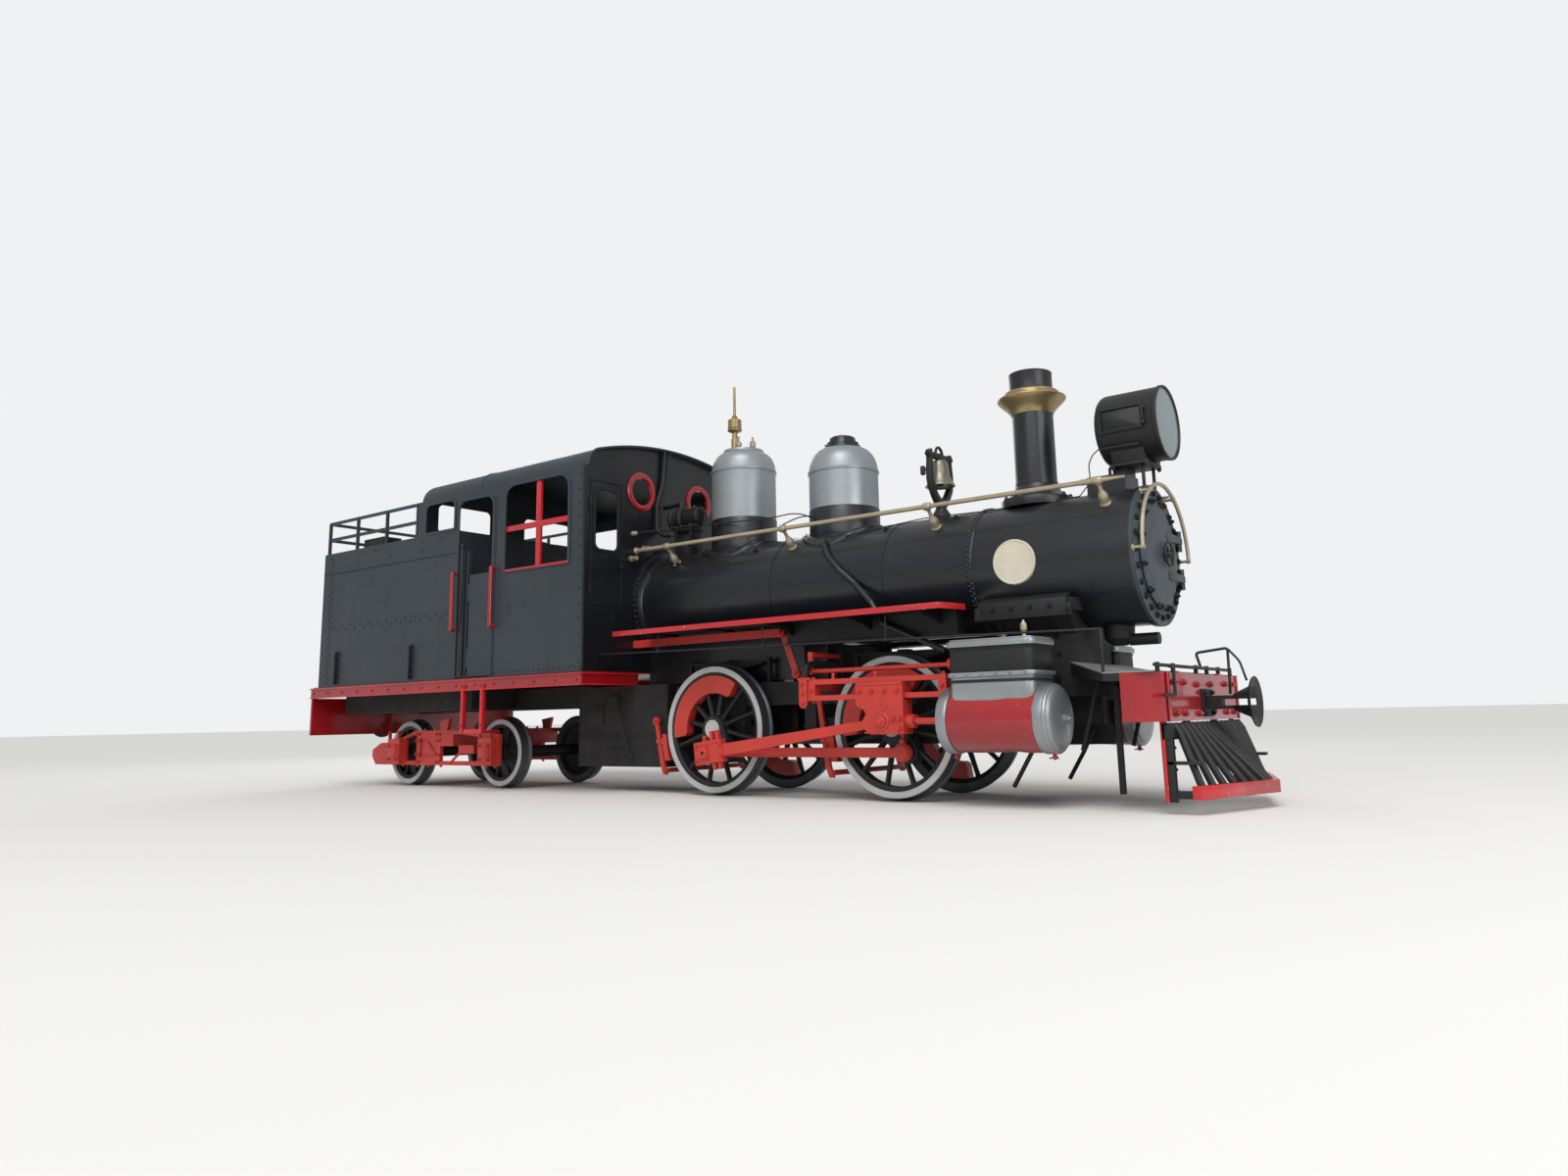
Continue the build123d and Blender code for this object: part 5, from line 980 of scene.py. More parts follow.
# Headlight: black drum with a soft rear edge, thin rim, lens, framed side panes, foot and wire
drum = [(3560, 0), (3560, 205), (3564, 232), (3576, 256), (3594, 274), (3618, 283), (4020, 283),
    (4024, 288), (4050, 290), (4056, 286), (4056, 276), (4046, 272), (4040, 270), (4036, 0)]
lens = [(4037, 0), (4037, 271), *bulge(4042, 10, 272, 0, 0, 5, 6), (4052, 0)]
# The lens's pale colour is a painted reflection of the lamp's reflector
lamp = [(turned(drum, (0, 0, lamp_z), front, 72), 0), (turned(lens, (0, 0, lamp_z), front, 64), 1)]
for sign in (-1, 1):
    window = rounded_box(3640, 3936, 2722, 2882, 4)
    for rim, start, end in ((rounded_box(3624, 3950, 2706, 2898, 6), 236, 292),
            (rounded_box(3632, 3944, 2714, 2890, 6), 288, 297)):
        lamp.append((ring_plate(rim, window, sign * start, sign * end, "xz"), 0))
    # Side panes in opaque black glass: painted shade of the lamp's unlit inside
    lamp.append((swept(window, sign * 268, sign * 284, "xz"), 2))
    lamp.append((pipe([(3958, sign * 300, 2740), (3958, sign * 300, 2866)], 8), 0))
    for z in (2744, 2860):
        lamp.append((block(3942, 3972, sign * 282, sign * 306, z - 11, z + 11), 0))
    lamp.append((block(3600, 3900, sign * 256, sign * 262, 2596, 2606), 0))
base = swept(rounded_box(3644, 3930, -168, 168, 24), 2470, 2494, "xy")
lamp += [(base, 0), (swept([(-210, 2620), (-168, 2490), (168, 2490), (210, 2620)], 3664, 3916, "yz"), 0),
    (block(3640, 3740, -110, 110, 2418, 2474), 0), (block(3652, 3728, -98, 98, 2418, 2500), 0)]
stud = [(2448, 0), (2448, 10), (2462, 16), (2474, 16), (2474, 0)]
lamp += [(turned(stud, (x, y, 0), up, 12), 0) for x in (3660, 3912) for y in (-150, 150)]
for y in (-120, 120):
    lamp.append((pipe(rounded([(3662, y, 2480), (3622, y, 2480), (3622, y, 2286)], 24), 12), 0))
    lamp.append((pipe([(3876, y, 2480), (3876, y, 2286)], 13), 0))
gland = [(3562, 0), (3562, 26), (3544, 24), (3540, 12), (3524, 10), (3522, 0)]
lamp.append((turned(gland, (0, -60, 2660), front, 16), 0))
wire = [(3532, -60, 2656), (3480, -70, 2620), (3440, -80, 2540), (3452, -90, 2450), (3446, -110, 2380),
    (3380, -150, 2286)]
lamp.append((pipe(rounded(wire, 80), 5, 8), 0))
piece("headlight_dressed", [iron_black, lens_glass_painted_reflection, dirty_pane_painted_shade], lamp, bevel=1.5, replaces=("headlight",))
band_bolts = [(4037, a, lamp_z + b, 0, a, b) for a, b in around(16, 289)]
rivets("headlight_band_screws", iron_black, 14, 4, band_bolts)

# Smokebox: seam strap, rivets, front ring in grey-blue with bolts, blank cream disc
ring = [(3858, 519), (3858, 528), (3866, 533), (3886, 533), (3892, 526), (3892, 398), (3880, 392),
    (3876, 380), (3870, 380), (3870, 519)]
piece("smokebox_front_ring", ring_grey, [turned(ring, (0, 0, boiler_z), front, 96)])
seam = [(2556, 517), (2556, 521), (2560, 523), (2606, 523), (2610, 521), (2610, 517)]
flare = [(-1008, 510), (-1008, 552), (-1003, 562), (-1000, 552), (-996, 524), (-988, 512), (-988, 510)]
straps = [turned(profile, (0, 0, boiler_z), front, 96) for profile in (seam, flare)]
piece("boiler_straps", boiler_black, straps)
blank = [(500, 0), (500, 173), (529, 173), (533, 169), (533, 160), (530, 156), (530, 0)]
disc = [turned(blank, (2973, 0, 1777), (0, sign, 0), 56) for sign in (-1, 1)]
piece("blank_discs", plate_cream, disc)
ring_bolts = [(3893, a, boiler_z + b, *front) for a, b in around(24, 470)]
bolts("front_ring_bolts", iron_black, 40, 18, ring_bolts[:1] + ring_bolts[2:23])
shell_rivets = hoop(2571, 522, -140, 140, 62) + hoop(2596, 522, -138, 142, 62)
shell_rivets += hoop(3846, 518, -150, 150, 60)
shell_rivets += hoop(-1046, 560, -150, -30, 22) + hoop(-1046, 560, 30, 150, 22)
for x in (3440, 3750):
    shell_rivets += [(x, y, boiler_z + sqrt(smokebox_radius ** 2 - y ** 2), 0, y / smokebox_radius, 0.96)
        for y in (-120, -60, 0, 60, 120)]
rivets("shell_rivets", boiler_black, 24, 8, shell_rivets)
saddle_bolts = both_sides([(x, -534, z, *right) for x, z in ((2768, 1424), (2926, 1424), (3078, 1424),
    (3234, 1424), (3372, 1385))])
saddle_bolts += both_sides([(2760 + i * 150, -330, 1080, *right) for i in range(4)])
bolts("saddle_bolts", iron_black, 34, 20, saddle_bolts)
flange = []
for sign in (-1, 1):
    lip = [(500, 1340), (530, 1345), (536, 1478), (450, 1520), (436, 1512), (420, 1475)]
    flange.append(swept([(sign * y, z) for y, z in lip], 2660, 3370, "yz"))
    for x0, x1 in ((2620, 2661), (3369, 3405)):
        flange.append(swept([(sign * y, z) for y, z in ((500, 1340), (530, 1345), (534, 1440),
            (470, 1450))], x0, x1, "yz"))
    for x in (2800, 3000, 3200):
        rib = [(sign * 328, 1210), (sign * 478, 1384), (sign * 496, 1384), (sign * 340, 1190)]
        flange.append(swept(rib, x - 9, x + 9, "yz"))
piece("saddle_flange", iron_black, flange, bevel=3)

# Smokebox door: dished plate with a beaded edge, hinge straps, clamps and a handwheel
door = [(3894, 0), (3894, 398), (3900, 402), (3908, 402), (3912, 392), *bulge(3908, 42, 388, 0, 1, 8, 8)]
shapes = [(turned(door, (0, 0, boiler_z), front, 80), 0)]
for z in (boiler_z - 150, boiler_z + 150):
    strap = [(445, z - 24), (445, z + 24), (150, z + 34), (90, z + 30), (60, z), (90, z - 30),
        (150, z - 34)]
    shapes.append((swept(strap, 3912, 3952, "yz"), 0))
    knuckle = [(z - 40, 11.5), (z - 40, 24), (z + 40, 24), (z + 40, 11.5)]
    shapes.append((turned(knuckle, (3921, 445, 0), up, 24), 0))
clamp, faces = block(3896, 3930, 384, 428, -17, 17)
for i in range(10):
    turn = Matrix.Rotation(radians(45 + 30 * i), 3, "X")
    shapes.append((([tuple(turn @ Vector(p) + Vector((0, 0, boiler_z))) for p in clamp], faces), 1))
shapes.append((turned([(3944, 0), (3944, 62), (3958, 58), (3962, 30), (3996, 26), (4000, 0)],
    (0, 0, boiler_z), front, 32), 1))
wheel = [(3982 + a, 92 + b) for a, b in around(10, 9)]
shapes.append((turned(wheel, (0, 0, boiler_z), front, 40), 1))
for a, b in around(4, 92, pi / 4):
    shapes.append((pipe([(3984, 0, boiler_z), (3982, a, boiler_z + b)], 7, 8), 1))
piece("smokebox_door_dressed", [ring_grey, iron_black], shapes, bevel=1.5, replaces=("smokebox_door",),
    body="smokebox_door")
clamp_nuts = [(3930, a, boiler_z + b, *front) for a, b in around(12, 408, pi / 12)[1:11]]
bolts("door_clamp_nuts", iron_black, 28, 14, clamp_nuts, body="smokebox_door")

# Generator: turbine drum, dynamo drum, feet, steam and exhaust pipes
gen_x, gen_y, gen_z = -700, -150, 2638
gen = []
turbine = [(-192, 0), (-192, 96), (-184, 116), (-174, 124), (-148, 124), (-142, 118), (-60, 118),
    (-52, 126), (-30, 126), (-22, 112), (-16, 92), (-12, 0)]
dynamo = [(-14, 0), (-14, 84), (0, 92), (140, 92), (148, 96), (172, 96), (180, 84), (188, 50), (190, 0)]
for profile in (turbine, dynamo):
    gen.append(turned(profile, (gen_x, gen_y, gen_z), front, 40))
gen.append(block(gen_x - 120, gen_x + 120, -246, -54, 2500, 2524))
for x in (gen_x - 92, gen_x + 92):
    gen.append(block(x - 16, x + 16, -236, -64, 2200, 2580))
for i in range(6):
    fin = [(10 + 26 * i, 91), (10 + 26 * i, 98), (20 + 26 * i, 98), (20 + 26 * i, 91)]
    gen.append(turned(fin, (gen_x, gen_y, gen_z), front, 32))
gen.append(pipe(rounded([(-800, gen_y, 2740), (-800, gen_y, 2800), (-900, -90, 2812),
    (cab_front_x, -60, 2812)], 40), 20))
gen.append(turned([(2744, 0), (2744, 30), (2768, 30), (2774, 0)], (-800, gen_y, 0), up, 20))
gen.append(turned([(2718, 0), (2718, 26), (2756, 24), (2760, 0)], (-620, gen_y, 0), up, 16))
gen.append(pipe(rounded([(-520, gen_y, 2656), (-470, -160, 2640), (-440, -240, 2440), (-400, -330, 2180)],
    60), 7, 8))
piece("generator_dressed", iron_black, gen, bevel=2, replaces=("turbo_generator",))
gen_nuts = [(gen_x - 192, gen_y + a, gen_z + b, *back) for a, b in around(8, 100)]
bolts("generator_nuts", iron_black, 18, 10, gen_nuts)

# Wires and small pipes along the boiler top
low_wire = [(-780, -226, 2470), (-760, -330, 2440), (-500, -390, 2330), (-329, -420, 2285),
    (-108, -440, 2180), (94, -440, 2180), (320, -420, 2250), (540, -400, 2322), (700, -350, 2400),
    (800, -300, 2440), (890, -240, 2446)]
high_wire = [(-1092, -300, 2512), (-730, -310, 2505), (-400, -335, 2497), (-100, -350, 2488),
    (200, -335, 2478), (504, -300, 2473), (694, -290, 2486), (800, -265, 2470), (900, -225, 2420)]
front_wire = [(1300, -330, 2200), (2000, -120, 2300), (2600, -230, 2260), (3380, -150, 2286)]
lines = [pipe(rounded(low_wire, 60), 6, 8), pipe(rounded(high_wire, 60), 6, 8),
    pipe(rounded(front_wire, 90), 5, 8)]
piece("boiler_top_lines", iron_black, lines)
plugs = []
for x, turn in ((-640, 46), (300, 40), (1700, 34), (2360, 30)):
    plugs += hoop(x, boiler_radius, -turn, turn, 2)
bolts("boiler_plugs", iron_black, 44, 18, plugs)

# Cylinders: dented crimson jacket between silver covers, dark chest with silver lid and flange
dents = ((2700, -60, 9, 110), (2880, -20, 7, 90), (3040, -75, 10, 120), (2680, 10, 6, 100),
    (3150, -30, 8, 90), (2800, 50, 6, 120), (2960, 25, 7, 100), (3180, 70, 6, 90))


def dented_jacket():
    """The jacket sheet with shallow dents: each at a place along, an angle, a depth and a width."""
    first, last, radius, rings, steps = 2629, 3303, 235, 42, 96
    sheet = [(first + (last - first) * i / rings, radius) for i in range(rings + 1)]
    points, faces = turned([(first, 30), *sheet, (last, 30)], (0, -cylinder_y, cylinder_z), front, steps)
    moved = []
    for x, y, z in points:
        out = Vector((0, y + cylinder_y, z - cylinder_z))
        push = 0.0
        if out.length > 200:
            for along, angle, depth, width in dents:
                a = radians(angle)
                spot = Vector((along, -radius * cos(a), radius * sin(a)))
                away = (Vector((x, y + cylinder_y, z - cylinder_z)) - spot).length
                push += depth * exp(-(away / width) ** 2)
            push += 1.6 * sin(x / 47) * sin(atan2(out.z, out.y) * 5 + x / 90)
            out = out * (1 - push / out.length)
        moved.append((x, out.y - cylinder_y, out.z + cylinder_z))
    return moved, faces


def cylinder_shapes():
    y, z = -cylinder_y, cylinder_z
    centre = (0, y, z)
    rear = [(2544, 29), (2544, 226), (2548, 238), (2556, 243), (2622, 243), (2629, 238), (2631, 29)]
    cover = [(3301, 0), (3301, 239), (3305, 243), (3362, 243), (3365, 240), (3368, 243), (3384, 243),
        (3393, 238), (3398, 226), *bulge(3398, 48, 226, 0, 1, 8, 9), (3447, 0)]
    gland = [(2532, 28), (2532, 62), (2536, 70), (2546, 70), (2546, 28)]
    shapes = [(dented_jacket(), 0), (turned(rear, centre, front, 72), 1),
        (turned(cover, centre, front, 72), 1), (turned(gland, centre, front, 40), 3)]
    wide = rounded_box(2622, 3318, -1053, -622, 65)
    narrow = rounded_box(2640, 3300, -1035, -640, 55)
    top = rounded_box(2638, 3302, -1037, -638, 58)
    packing = rounded_box(2632, 3308, -1043, -632, 60)
    joint = rounded_box(2634, 3306, -1041, -634, 58)
    layers = ((wide, 1120, 1160, 1), (top, 1160, 1175, 1), (narrow, 936, 1122, 2), (wide, 906, 937, 1),
        (narrow, 884, 908, 1), (packing, 866, 884, 4), (narrow, 730, 868, 1), (joint, 1100, 1112, 2))
    for outline, low, high, slot in layers:
        shapes.append((swept(outline, low, high, "xy"), slot))
    shapes.append((block(2700, 3240, -650, -405, 542, 914), 2))
    shapes.append((block(2700, 3240, -640, -600, 380, 740), 2))
    for x, tall in ((3170, 112), (3009, 30)):
        cup = [(1172, 0), (1172, 26), (1182, 26), (1186, 14), (1186 + tall * 0.3, 14),
            (1190 + tall * 0.35, 24), (1190 + tall * 0.75, 24), (1190 + tall * 0.9, 10), (1190 + tall, 8),
            (1190 + tall, 0)]
        shapes.append((turned(cup, (x, -850, 0), up, 20), 5))
    for x in (2586, 3350):
        cock = [(362, 0), (362, 14), (346, 14), (344, 20), (330, 20), (328, 9), (318, 9), (318, 0)]
        shapes.append((turned(cock, (x, y, 0), up, 16), 3))
        shapes.append((pipe([(x - 44, y - 2, 330), (x + 30, y - 2, 330)], 5, 8), 2))
    return shapes


finishes = [gloss_red, cover_silver, iron_black, motion_red, under_black, dull_brass]
both = cylinder_shapes()
for side, sign in side_sign.items():
    shapes = both if sign < 0 else [(mirrored(shape), slot) for shape, slot in both]
    piece(f"cylinder_{side}_dressed", finishes, shapes, bevel=2.5, replaces=(f"cylinder_{side}",))
bolts("cover_nuts", cover_silver, 52, 26, both_sides([(3446, -cylinder_y, cylinder_z, *front)]))
gland_nuts = [(2544, a - cylinder_y, cylinder_z + b, *back) for a, b in around(12, 170)]
bolts("rear_cover_nuts", iron_black, 26, 14, both_sides(gland_nuts))
chest_nuts = row((2690, -1053, 922), (3250, -1053, 922), 6, right)
bolts("chest_flange_nuts", cover_silver, 24, 12, both_sides(chest_nuts))

# Crossheads, main rods and coupling rods: nuts, keys, bosses, oil holes
pin_place, wrist_x = {}, {}
for side, angle in crank_angle.items():
    a = radians(angle)
    pin_place[side] = (crank_throw * cos(a), driver_radius + crank_throw * sin(a))
    px, pz = pin_place[side]
    wrist_x[side] = px + sqrt(main_rod_length ** 2 - (cylinder_z - pz) ** 2)
for side, sign in side_sign.items():
    out = (0, sign, 0)
    wx, (px, pz) = wrist_x[side], pin_place[side]
    face = sign * 923
    wrist = (wx, 0, cylinder_z)
    bosses = [
        turned([(920, 50), (920, 74), (928, 72), (932, 66), (932, 50)], wrist, out, 36),
        turned([(934, 0), (934, 46), (941, 44), (944, 26), (958, 24), (962, 0)], wrist, out, 24),
        block(wx - 218, wx + 192, face, sign * 929, 880, 900),
        block(wx - 150, wx + 192, face, sign * 927, 512, 526),
        turned([(922, 18), (922, 40), (929, 38), (929, 18)], (wx + 20, 0, 724), out, 28)]
    piece(f"crosshead_{side}_bosses", motion_red, bosses, bevel=1.5, body=f"crosshead_{side}")
    nuts = [(wx + dx, face, z, *out) for dx, z in ((-190, 838), (-75, 838), (40, 838), (154, 838),
        (110, 620), (170, 620), (170, 545))]
    bolts(f"crosshead_{side}_nuts", motion_red, 36, 18, nuts, body=f"crosshead_{side}")
    lean = atan2(cylinder_z - pz, wx - px)

    def along_rod(u, v, y):
        return (px + u * cos(lean) - v * sin(lean), sign * y, pz + u * sin(lean) + v * cos(lean))

    keys = []
    for u in (95, 160):
        corners = [along_rod(u + du, v, y) for y in (833, 873) for du, v in ((-13, -154), (13, -154),
            (17, 176), (-17, 176))]
        keys.append((corners, box_faces))
    for v in (82, -82):
        corners = [along_rod(u, w, y) for y in (883, 889) for u, w in ((-100, v - 12), (205, v - 12),
            (205, v + 12), (-100, v + 12))]
        keys.append((corners, box_faces))
    keys.append(turned([(889, 0), (889, 50), (897, 48), (901, 36), (901, 0)], (px, 0, pz), out, 28))
    top = along_rod(0, 98, 853)
    keys.append(turned([(0, 0), (0, 22), (10, 22), (14, 14), (24, 20), (44, 20), (50, 10), (52, 0)], top,
        up, 16))
    piece(f"main_rod_{side}_keys", motion_red, keys, bevel=1.5, body=f"main_rod_{side}")
    nuts = [(*along_rod(u, v, 883), *out) for u, v in ((40, -46), (40, 46), (190, -46), (190, 46),
        (-82, -60), (-82, 60))]
    bolts(f"main_rod_{side}_nuts", motion_red, 28, 12, nuts, body=f"main_rod_{side}")
    # Soot-black disc on the rod boss: painted shade standing for the oil hole
    hole_shade_discs = [turned([(897, 0), (897, 16), (902, 16), (902, 0)], (px, 0, pz), out, 20)]
    piece(f"main_rod_{side}_oil_hole_shade_disc", soot_and_painted_shade, hole_shade_discs, body=f"main_rod_{side}")
    rings = []
    for x in (px, px + driver_base):
        rings.append(turned([(0, 0), (0, 18), (12, 18), (16, 12), (26, 17), (42, 17), (46, 0)],
            (x, sign * 664, pz + 100), up, 16))
    for low, high in ((22, 38), (-38, -22)):
        rings.append(block(px + 84, px + driver_base - 84, sign * coupling_outer_y,
            sign * (coupling_outer_y + 4), pz + low, pz + high))
    piece(f"coupling_rod_{side}_trim", motion_red, rings, bevel=1.5, body=f"coupling_rod_{side}")

# Slide bars: yoke hooks, legs, nuts and oil cups
yokes, legs, guide_nuts = [], [], []
for sign in (-1, 1):
    hook = [(sign * 404, 962), (sign * 404, 1096), (sign * 640, 1102), (sign * 830, 1098),
        (sign * 885, 1072), (sign * 906, 1020), (sign * 904, 962), (sign * 870, 958), (sign * 860, 1010),
        (sign * 830, 1046), (sign * 640, 1052), (sign * 470, 1040), (sign * 460, 962)]
    yokes.append(swept(hook, 1226, 1276, "yz"))
    leg = rounded_box(1193, 1271, 716, 950, (6, 6, 38, 38))
    legs.append(swept(leg, sign * 892, sign * 908, "xz"))
    legs.append(block(1180, 1300, sign * 840, sign * 908, 944, 962))
    for x in (1500, 1900):
        legs.append(turned([(944, 0), (944, 16), (956, 16), (960, 10), (976, 14), (990, 14), (994, 0)],
            (x, sign * 853, 0), up, 16))
    for x in (1306, 2508):
        guide_nuts += [(x, sign * 853, 944, 0, 0, 1), (x, sign * 853, 776, 0, 0, -1),
            (x, sign * 891, 860, 0, sign, 0)]
    guide_nuts += [(1232, sign * 908, z, 0, sign, 0) for z in (760, 840, 915)]
piece("guide_yokes", iron_black, yokes, bevel=4)
piece("guide_legs", motion_red, legs, bevel=2)
bolts("guide_nuts", motion_red, 32, 16, guide_nuts)

# Running boards: rubbed red edge, brackets and top plate
edges, brackets, board_rivets = [], [], []
for sign in (-1, 1):
    outer = [(-838, sign * 1048.5), (2602, sign * 1048.5), (2664, sign * 757), (2650, sign * 757),
        (2591, sign * 1037), (-838, sign * 1037)]
    edges.append(swept(outer, 1419, 1464.5, "xy"))
    for x in (-600, 100, 900, 1700, 2350):
        stay = [(sign * 574, 1450), (sign * 1030, 1450), (sign * 1030, 1432), (sign * 700, 1380),
            (sign * 574, 1340)]
        if x < 800:
            stay = [(sign * 420, 1450), (sign * 1030, 1450), (sign * 1030, 1430), (sign * 420, 1430)]
        brackets.append(swept(stay, x - 7, x + 7, "yz"))
        board_rivets += [(x, sign * 1048, 1442, 0, sign, 0)]
    brackets.append(block(836, 2489, sign * 570, sign * 586, 1258, 1278))
    brackets.append(block(-832, 2590, sign * 560, sign * 1030, 1462, 1463.5))
piece("board_edges", edge_red, edges, bevel=2)
piece("board_brackets", iron_black, brackets, bevel=2)
rivets("board_rivets", edge_red, 22, 7, board_rivets)

# Reach rod and brake gear: pins and nuts
gear_nuts = [(727, -538, 1382, *right), (865, -510, 1022, *right)]
gear_nuts += both_sides([(x, -574, z, *right) for x, z in ((-740, 640), (-610, 190), (1145, 800),
    (1275, 190))])
bolts("gear_nuts", motion_red, 40, 20, gear_nuts)
eyes = []
for sign in (-1, 1):
    for x, z in ((-740, 640), (1145, 800)):
        eyes.append(turned([(544, 20), (544, 40), (576, 40), (576, 20)], (x, 0, z), (0, sign, 0), 24))
    for x, z in ((-698, 455), (1187, 455)):
        eyes.append(turned([(574, 0), (574, 26), (588, 24), (590, 0)], (x, 0, z), (0, sign, 0), 20))
piece("brake_eyes", motion_red, eyes, bevel=1.5)
shoes = []
for sign in (-1, 1):
    for x in (-560, 1325):
        shoes.append(swept([(x - 66, 500), (x - 22, 505), (x + 6, 350), (x + 24, 288), (x - 34, 292),
            (x - 62, 400)], sign * 522, sign * 542, "xz"))
piece("brake_shoe_plates", iron_black, shoes, bevel=3)

# Ashpan: rivet rows, seam angle, damper lever
pan_rivets = row((-1830, -520, 515), (-670, -520, 515), 27, right)
pan_rivets += row((-1830, -520, 940), (-670, -520, 940), 20, right)
for x in (-1838, -662):
    pan_rivets += row((x, -520, 250), (x, -520, 930), 14, right)
rivets("ashpan_rivets", under_black, 20, 8, both_sides(pan_rivets))
pan = []
for sign in (-1, 1):
    pan.append(block(-1858, -642, sign * 519, sign * 526, 488, 502))
    pan.append(block(-1420, -1270, sign * 519, sign * 548, 836, 892))
    pan.append(pipe(rounded([(-1294, sign * 552, 884), (-1290, sign * 552, 820), (-1150, sign * 552, 420),
        (-1120, sign * 552, 330), (-1066, sign * 552, 300)], 40), 11))
    pan.append(pipe([(-1440, sign * 528, 395), (-1180, sign * 528, 398)], 9, 8))
    pan.append(block(-1700, -1500, sign * 519, sign * 530, 620, 800))
piece("ashpan_gear", under_black, pan, bevel=2)

# Truck: journal box lids, spring hangers, tie bar nuts
lids, truck_nuts = [], []
for sign in (-1, 1):
    for x in truck_axles.values():
        lids.append(swept(rounded_box(x - 84, x + 84, 262, 446, 26), sign * 804, sign * 816, "xz"))
        lids.append(swept(rounded_box(x - 60, x + 60, 300, 410, 40), sign * 814, sign * 826, "xz"))
        lids.append(block(x - 96, x - 78, sign * 776, sign * 812, 505, 592))
        lids.append(block(x + 78, x + 96, sign * 776, sign * 812, 505, 592))
        truck_nuts += [(x + dx, sign * 816, z, 0, sign, 0) for dx in (-66, 66) for z in (282, 426)]
        truck_nuts += [(x + dx, sign * 714, 215, 0, 0, -1) for dx in (-70, 70)]
    for x in (-4330, -4170, -3980, -3860, -3300):
        truck_nuts += [(x, sign * 714, 590, 0, 0, 1)]
    for x in (-4290, -4240, -3920, -3870):
        truck_nuts += [(x, sign * 735, z, 0, sign, 0) for z in (255, 330, 480, 550)]
    truck_nuts += [(x, sign * 714, 215, 0, 0, -1) for x in (-4300, -4090, -3860)]
    lids.append(swept([(-4180, 330), (-3960, 330), (-3960, 346), (-4100, 480), (-4180, 480)], sign * 722,
        sign * 734, "xz"))
piece("truck_box_lids", motion_red, lids, bevel=3, body="truck")
bolts("truck_nuts", motion_red, 30, 16, truck_nuts, body="truck")

# Front beam bolts, deck edges, stays and the thin rod along the right side
beam_bits = [block(4152, 4164, -846, -812, 566, 892), block(4152, 4164, 812, 846, 566, 892),
    block(4060, 4160, -640, -560, 888, 902), block(4060, 4160, 360, 440, 888, 902)]
piece("beam_trim", gloss_red, beam_bits, bevel=3)
beam_bolts = [(beam_front_x, y, z, *front) for y in (-700, -500, 500, 700) for z in (620, 826)]
beam_bolts += [(beam_front_x, y, z, *front) for y, z in ((-195, 816), (126, 820), (-191, 615), (166, 631))]
bolts("beam_bolts", gloss_red, 40, 20, beam_bolts)
deck_edges = []
for sign in (-1, 1):
    deck_edges.append(slab([(3790, sign * 1012, 891), (3368, sign * 518, 995), (3368, sign * 518, 905),
        (3790, sign * 1012, 838)], (0, -sign * 10, 0)))
    deck_edges.append(block(3790, 3912, sign * 1002, sign * 1012, 838, 891))
piece("deck_edges", iron_black, deck_edges)
stays = []
for sign in (-1, 1):
    stays.append(pipe([(3110, sign * 500, 505), (3009, sign * 520, 327), (2871, sign * 520, 107)], 17))
stays.append(block(4084, 4094, -860, 860, 580, 610))
rod_start, rod_end = (-1074, -1000, 1268), (3790, -1000, 1190)
stays += [pipe([rod_start, rod_end], 8, 10), pipe([(3790, -1000, 896), (3790, -1000, 1194)], 10)]
for x in (-300, 900, 2100):
    share = (x - rod_start[0]) / (rod_end[0] - rod_start[0])
    level = rod_start[2] + share * (rod_end[2] - rod_start[2])
    stays.append(pipe([(x, -1000, 1422), (x, -1000, level)], 6, 8))
    stays.append(block(x - 14, x + 14, -1012, -988, level - 12, level + 12))
piece("front_stays", iron_black, stays, bevel=2)

# Pilot: black round bars under a top plate, red posts and red V-shaped foot
apex, corner_x, corner_y, bar_count, bar_reach = 4600, 4330, 870, 14, 820
bar_shares = [(i + 0.5) / bar_count * 2 - 1 for i in range(bar_count)]
shapes = []
for sign in (-1, 1):
    foot = [(apex, 0), (corner_x, sign * corner_y), (corner_x - 60, sign * corner_y), (apex - 70, 0)]
    shapes.append((swept(foot, 75, 160, "xy"), 1))
    shapes.append((block(4084, 4112, sign * 790, sign * 840, 52, 628), 1))
    shapes.append((block(4112, 4160, sign * 795, sign * 835, 52, 560), 0))
    shapes.append((block(4104, corner_x - 6, sign * 790, sign * 830, 75, 125), 0))
    shapes.append((block(4100, 4340, sign * 770, sign * 835, 290, 312), 0))
    shapes.append((block(4084, 4124, sign * 300, sign * 360, 470, 598), 0))
    shapes.append((pipe([(4110, sign * 300, 500), (4480, sign * 130, 150)], 15), 0))
shapes.append((block(4094, 4150, -840, 840, 450, 556), 0))
shapes.append((block(4148, 4166, -838, 838, 462, 548), 0))
for share in bar_shares:
    bar_y = share * bar_reach
    foot_y = share * 840
    foot_x = apex - (apex - corner_x) * abs(foot_y) / corner_y - 38
    shapes.append((pipe([(4150, bar_y, 548), (4166, bar_y, 528), (4186, share * (bar_reach + 1), 500),
        (foot_x - 8, foot_y, 132), (foot_x - 2, foot_y, 108)], 25, 14), 0))
    shapes.append((block(4160, 4172, bar_y - 22, bar_y + 22, 456, 552), 0))
piece("pilot_dressed", [iron_black, edge_red], shapes, bevel=2, replaces=("pilot",))
pilot_bolts = both_sides([(4160, -815, z, *front) for z in (120, 260, 400)])
pilot_bolts += [(4172, share * bar_reach, 536, *front) for share in bar_shares]
bolts("pilot_bolts", iron_black, 20, 10, pilot_bolts)

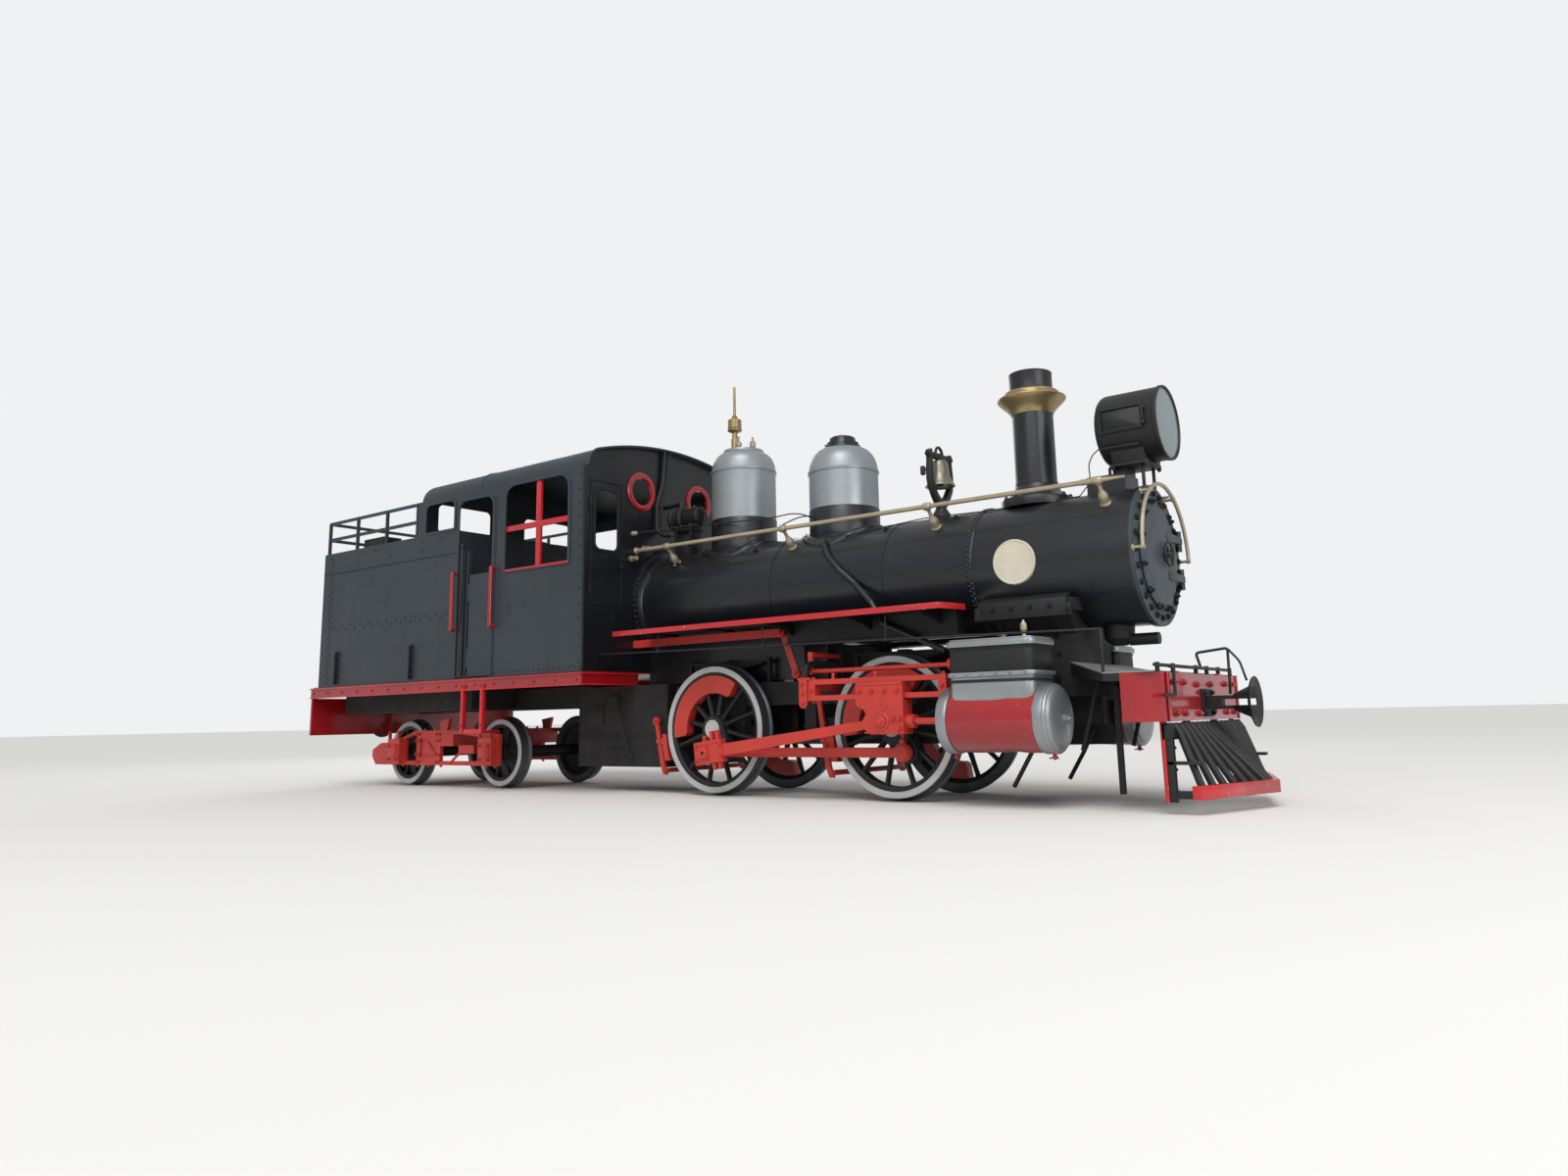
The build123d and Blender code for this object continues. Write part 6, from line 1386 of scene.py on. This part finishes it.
# Uncoupling lever: rod along the beam top, crank and handle, pin lifter with its drop link
handle = [(4140, -745, 932), (4174, -745, 925), (4176, -748, 742), (4176, -980, 738)]
lifter = [(4139, 0, 935), (4110, 0, 1045), (4334, 0, 1070), (4330, 0, 842), (4326, 0, 745)]
drop_link = [(4334, 0, 1064), (4408, 0, 975), (4445, 0, 835)]
lever = [pipe([(4139, -1020, 935), (4139, 760, 935)], 12), pipe(rounded(handle, 18), 11),
    pipe(rounded(lifter, 24), 10), pipe(rounded(drop_link, 30), 8)]
for y in (-960, -640, -130, 130, 420, 740):
    lever.append(block(4126, 4152, y - 12, y + 12, 890, 953))
piece("uncoupling_lever_dressed", iron_black, lever, bevel=2, replaces=("uncoupling_lever",))

# Couplers: bell-mouth lips and pocket bolts
lips = []
for x, ahead, reach in ((beam_front_x, 1, 346), (beam_rear_x, -1, 406)):
    lip = [(reach - 22, 150), (reach - 12, 172), (reach - 1, 178), (reach - 0.5, 168), (reach - 8, 150)]
    lips.append(turned(lip, (x, 0, coupler_z), (ahead, 0, 0), 48))
    lips.append(block(min(x, x + ahead * 16), max(x, x + ahead * 16), -110, 110, 590, 786))
piece("coupler_lips", iron_black, lips, bevel=2)
coupler_bolts = [(4170, y, z, *front) for y in (-84, 84) for z in (616, 760)]
coupler_bolts += [(-5751, y, z, *back) for y in (-84, 84) for z in (616, 760)]
bolts("coupler_bolts", iron_black, 34, 18, coupler_bolts)


# Stage, light and camera
def stage_finish():
    """Pale floor that the camera sees as plain near-white while it still takes shadows."""
    material, tree = bare_material("pale_floor_paint")
    floor = add(tree, "ShaderNodeBsdfDiffuse", {"Color": tint("e2e1de")})
    add(tree, "ShaderNodeOutputMaterial", {"Surface": floor.outputs[0]})
    return material


def make_stage():
    mesh = bpy.data.meshes.new("floor")
    reach = 400
    mesh.from_pydata([(-reach, -reach, 0), (reach, -reach, 0), (reach, reach, 0), (-reach, reach, 0)], [],
        [(0, 1, 2, 3)])
    mesh.materials.append(stage_finish())
    floor = bpy.data.objects.new("floor", mesh)
    bpy.context.scene.collection.objects.link(floor)


def make_world():
    world = bpy.data.worlds.new("studio")
    world.use_nodes = True
    tree = world.node_tree
    tree.nodes.clear()
    path = add(tree, "ShaderNodeLightPath")
    seen = add(tree, "ShaderNodeMath", {0: path.outputs["Is Camera Ray"], 1: path.outputs["Is Glossy Ray"]},
        operation="MAXIMUM")
    seen = add(tree, "ShaderNodeMath", {0: seen.outputs[0], 1: path.outputs["Is Transmission Ray"]},
        operation="MAXIMUM")
    strength = add(tree, "ShaderNodeMapRange", {"Value": path.outputs["Is Camera Ray"], "To Min": 0.62,
        "To Max": 1.0})
    sky = add(tree, "ShaderNodeBackground", {"Color": tint("f0f1f2"), "Strength": strength.outputs[0]})
    add(tree, "ShaderNodeOutputWorld", {"Surface": sky.outputs[0]})
    bpy.context.scene.world = world


def soft_lamp(name, place, target, size, power):
    data = bpy.data.lights.new(name, "AREA")
    data.shape = "RECTANGLE"
    data.size, data.size_y = size
    data.energy = power
    lamp = bpy.data.objects.new(name, data)
    lamp.location = place
    lamp.rotation_mode = "QUATERNION"
    lamp.rotation_quaternion = (Vector(target) - Vector(place)).to_track_quat("-Z", "Y")
    bpy.context.scene.collection.objects.link(lamp)


make_stage()
make_world()
soft_lamp("key", (6.0, -14.0, 9.5), (0, 0, 1.6), (15, 7), 580)
soft_lamp("front_fill", (14.0, -4.0, 5.0), (2, 0, 1.5), (7, 5), 330)
soft_lamp("rear_fill", (-10.0, 10.0, 8.0), (0, 0, 2), (9, 6), 330)
open_sky = bpy.data.lights.new("open_sky", "SUN")
open_sky.energy, open_sky.angle = 1.4, radians(35)
sky_lamp = bpy.data.objects.new("open_sky", open_sky)
sky_lamp.rotation_euler = (radians(38), 0, radians(24))
bpy.context.scene.collection.objects.link(sky_lamp)


def make_camera():
    """The camera that the wheels, rings and long edges of the photograph agree on."""
    data = bpy.data.cameras.new("camera")
    data.sensor_width = 36
    data.lens = 24.48
    data.shift_x = -11.5 / 1600
    data.shift_y = -60 / 1600
    data.clip_start, data.clip_end = 0.1, 900
    heading, pitch, roll = (radians(a) for a in (126.58, 10.041, -1.227))
    ahead = Vector((cos(heading) * cos(pitch), sin(heading) * cos(pitch), sin(pitch)))
    level_right = ahead.cross(Vector(up)).normalized()
    level_up = level_right.cross(ahead)
    right_rolled = level_right * cos(roll) + level_up * sin(roll)
    up_rolled = level_up * cos(roll) - level_right * sin(roll)
    camera = bpy.data.objects.new("camera", data)
    turn = Matrix((right_rolled, up_rolled, -ahead)).transposed().to_4x4()
    turn.translation = at(6432, -7967, 642)
    camera.matrix_world = turn
    bpy.context.scene.collection.objects.link(camera)
    bpy.context.scene.camera = camera


make_camera()
bpy.context.scene.view_settings.view_transform = "Standard"

bpy.context.view_layer.update()
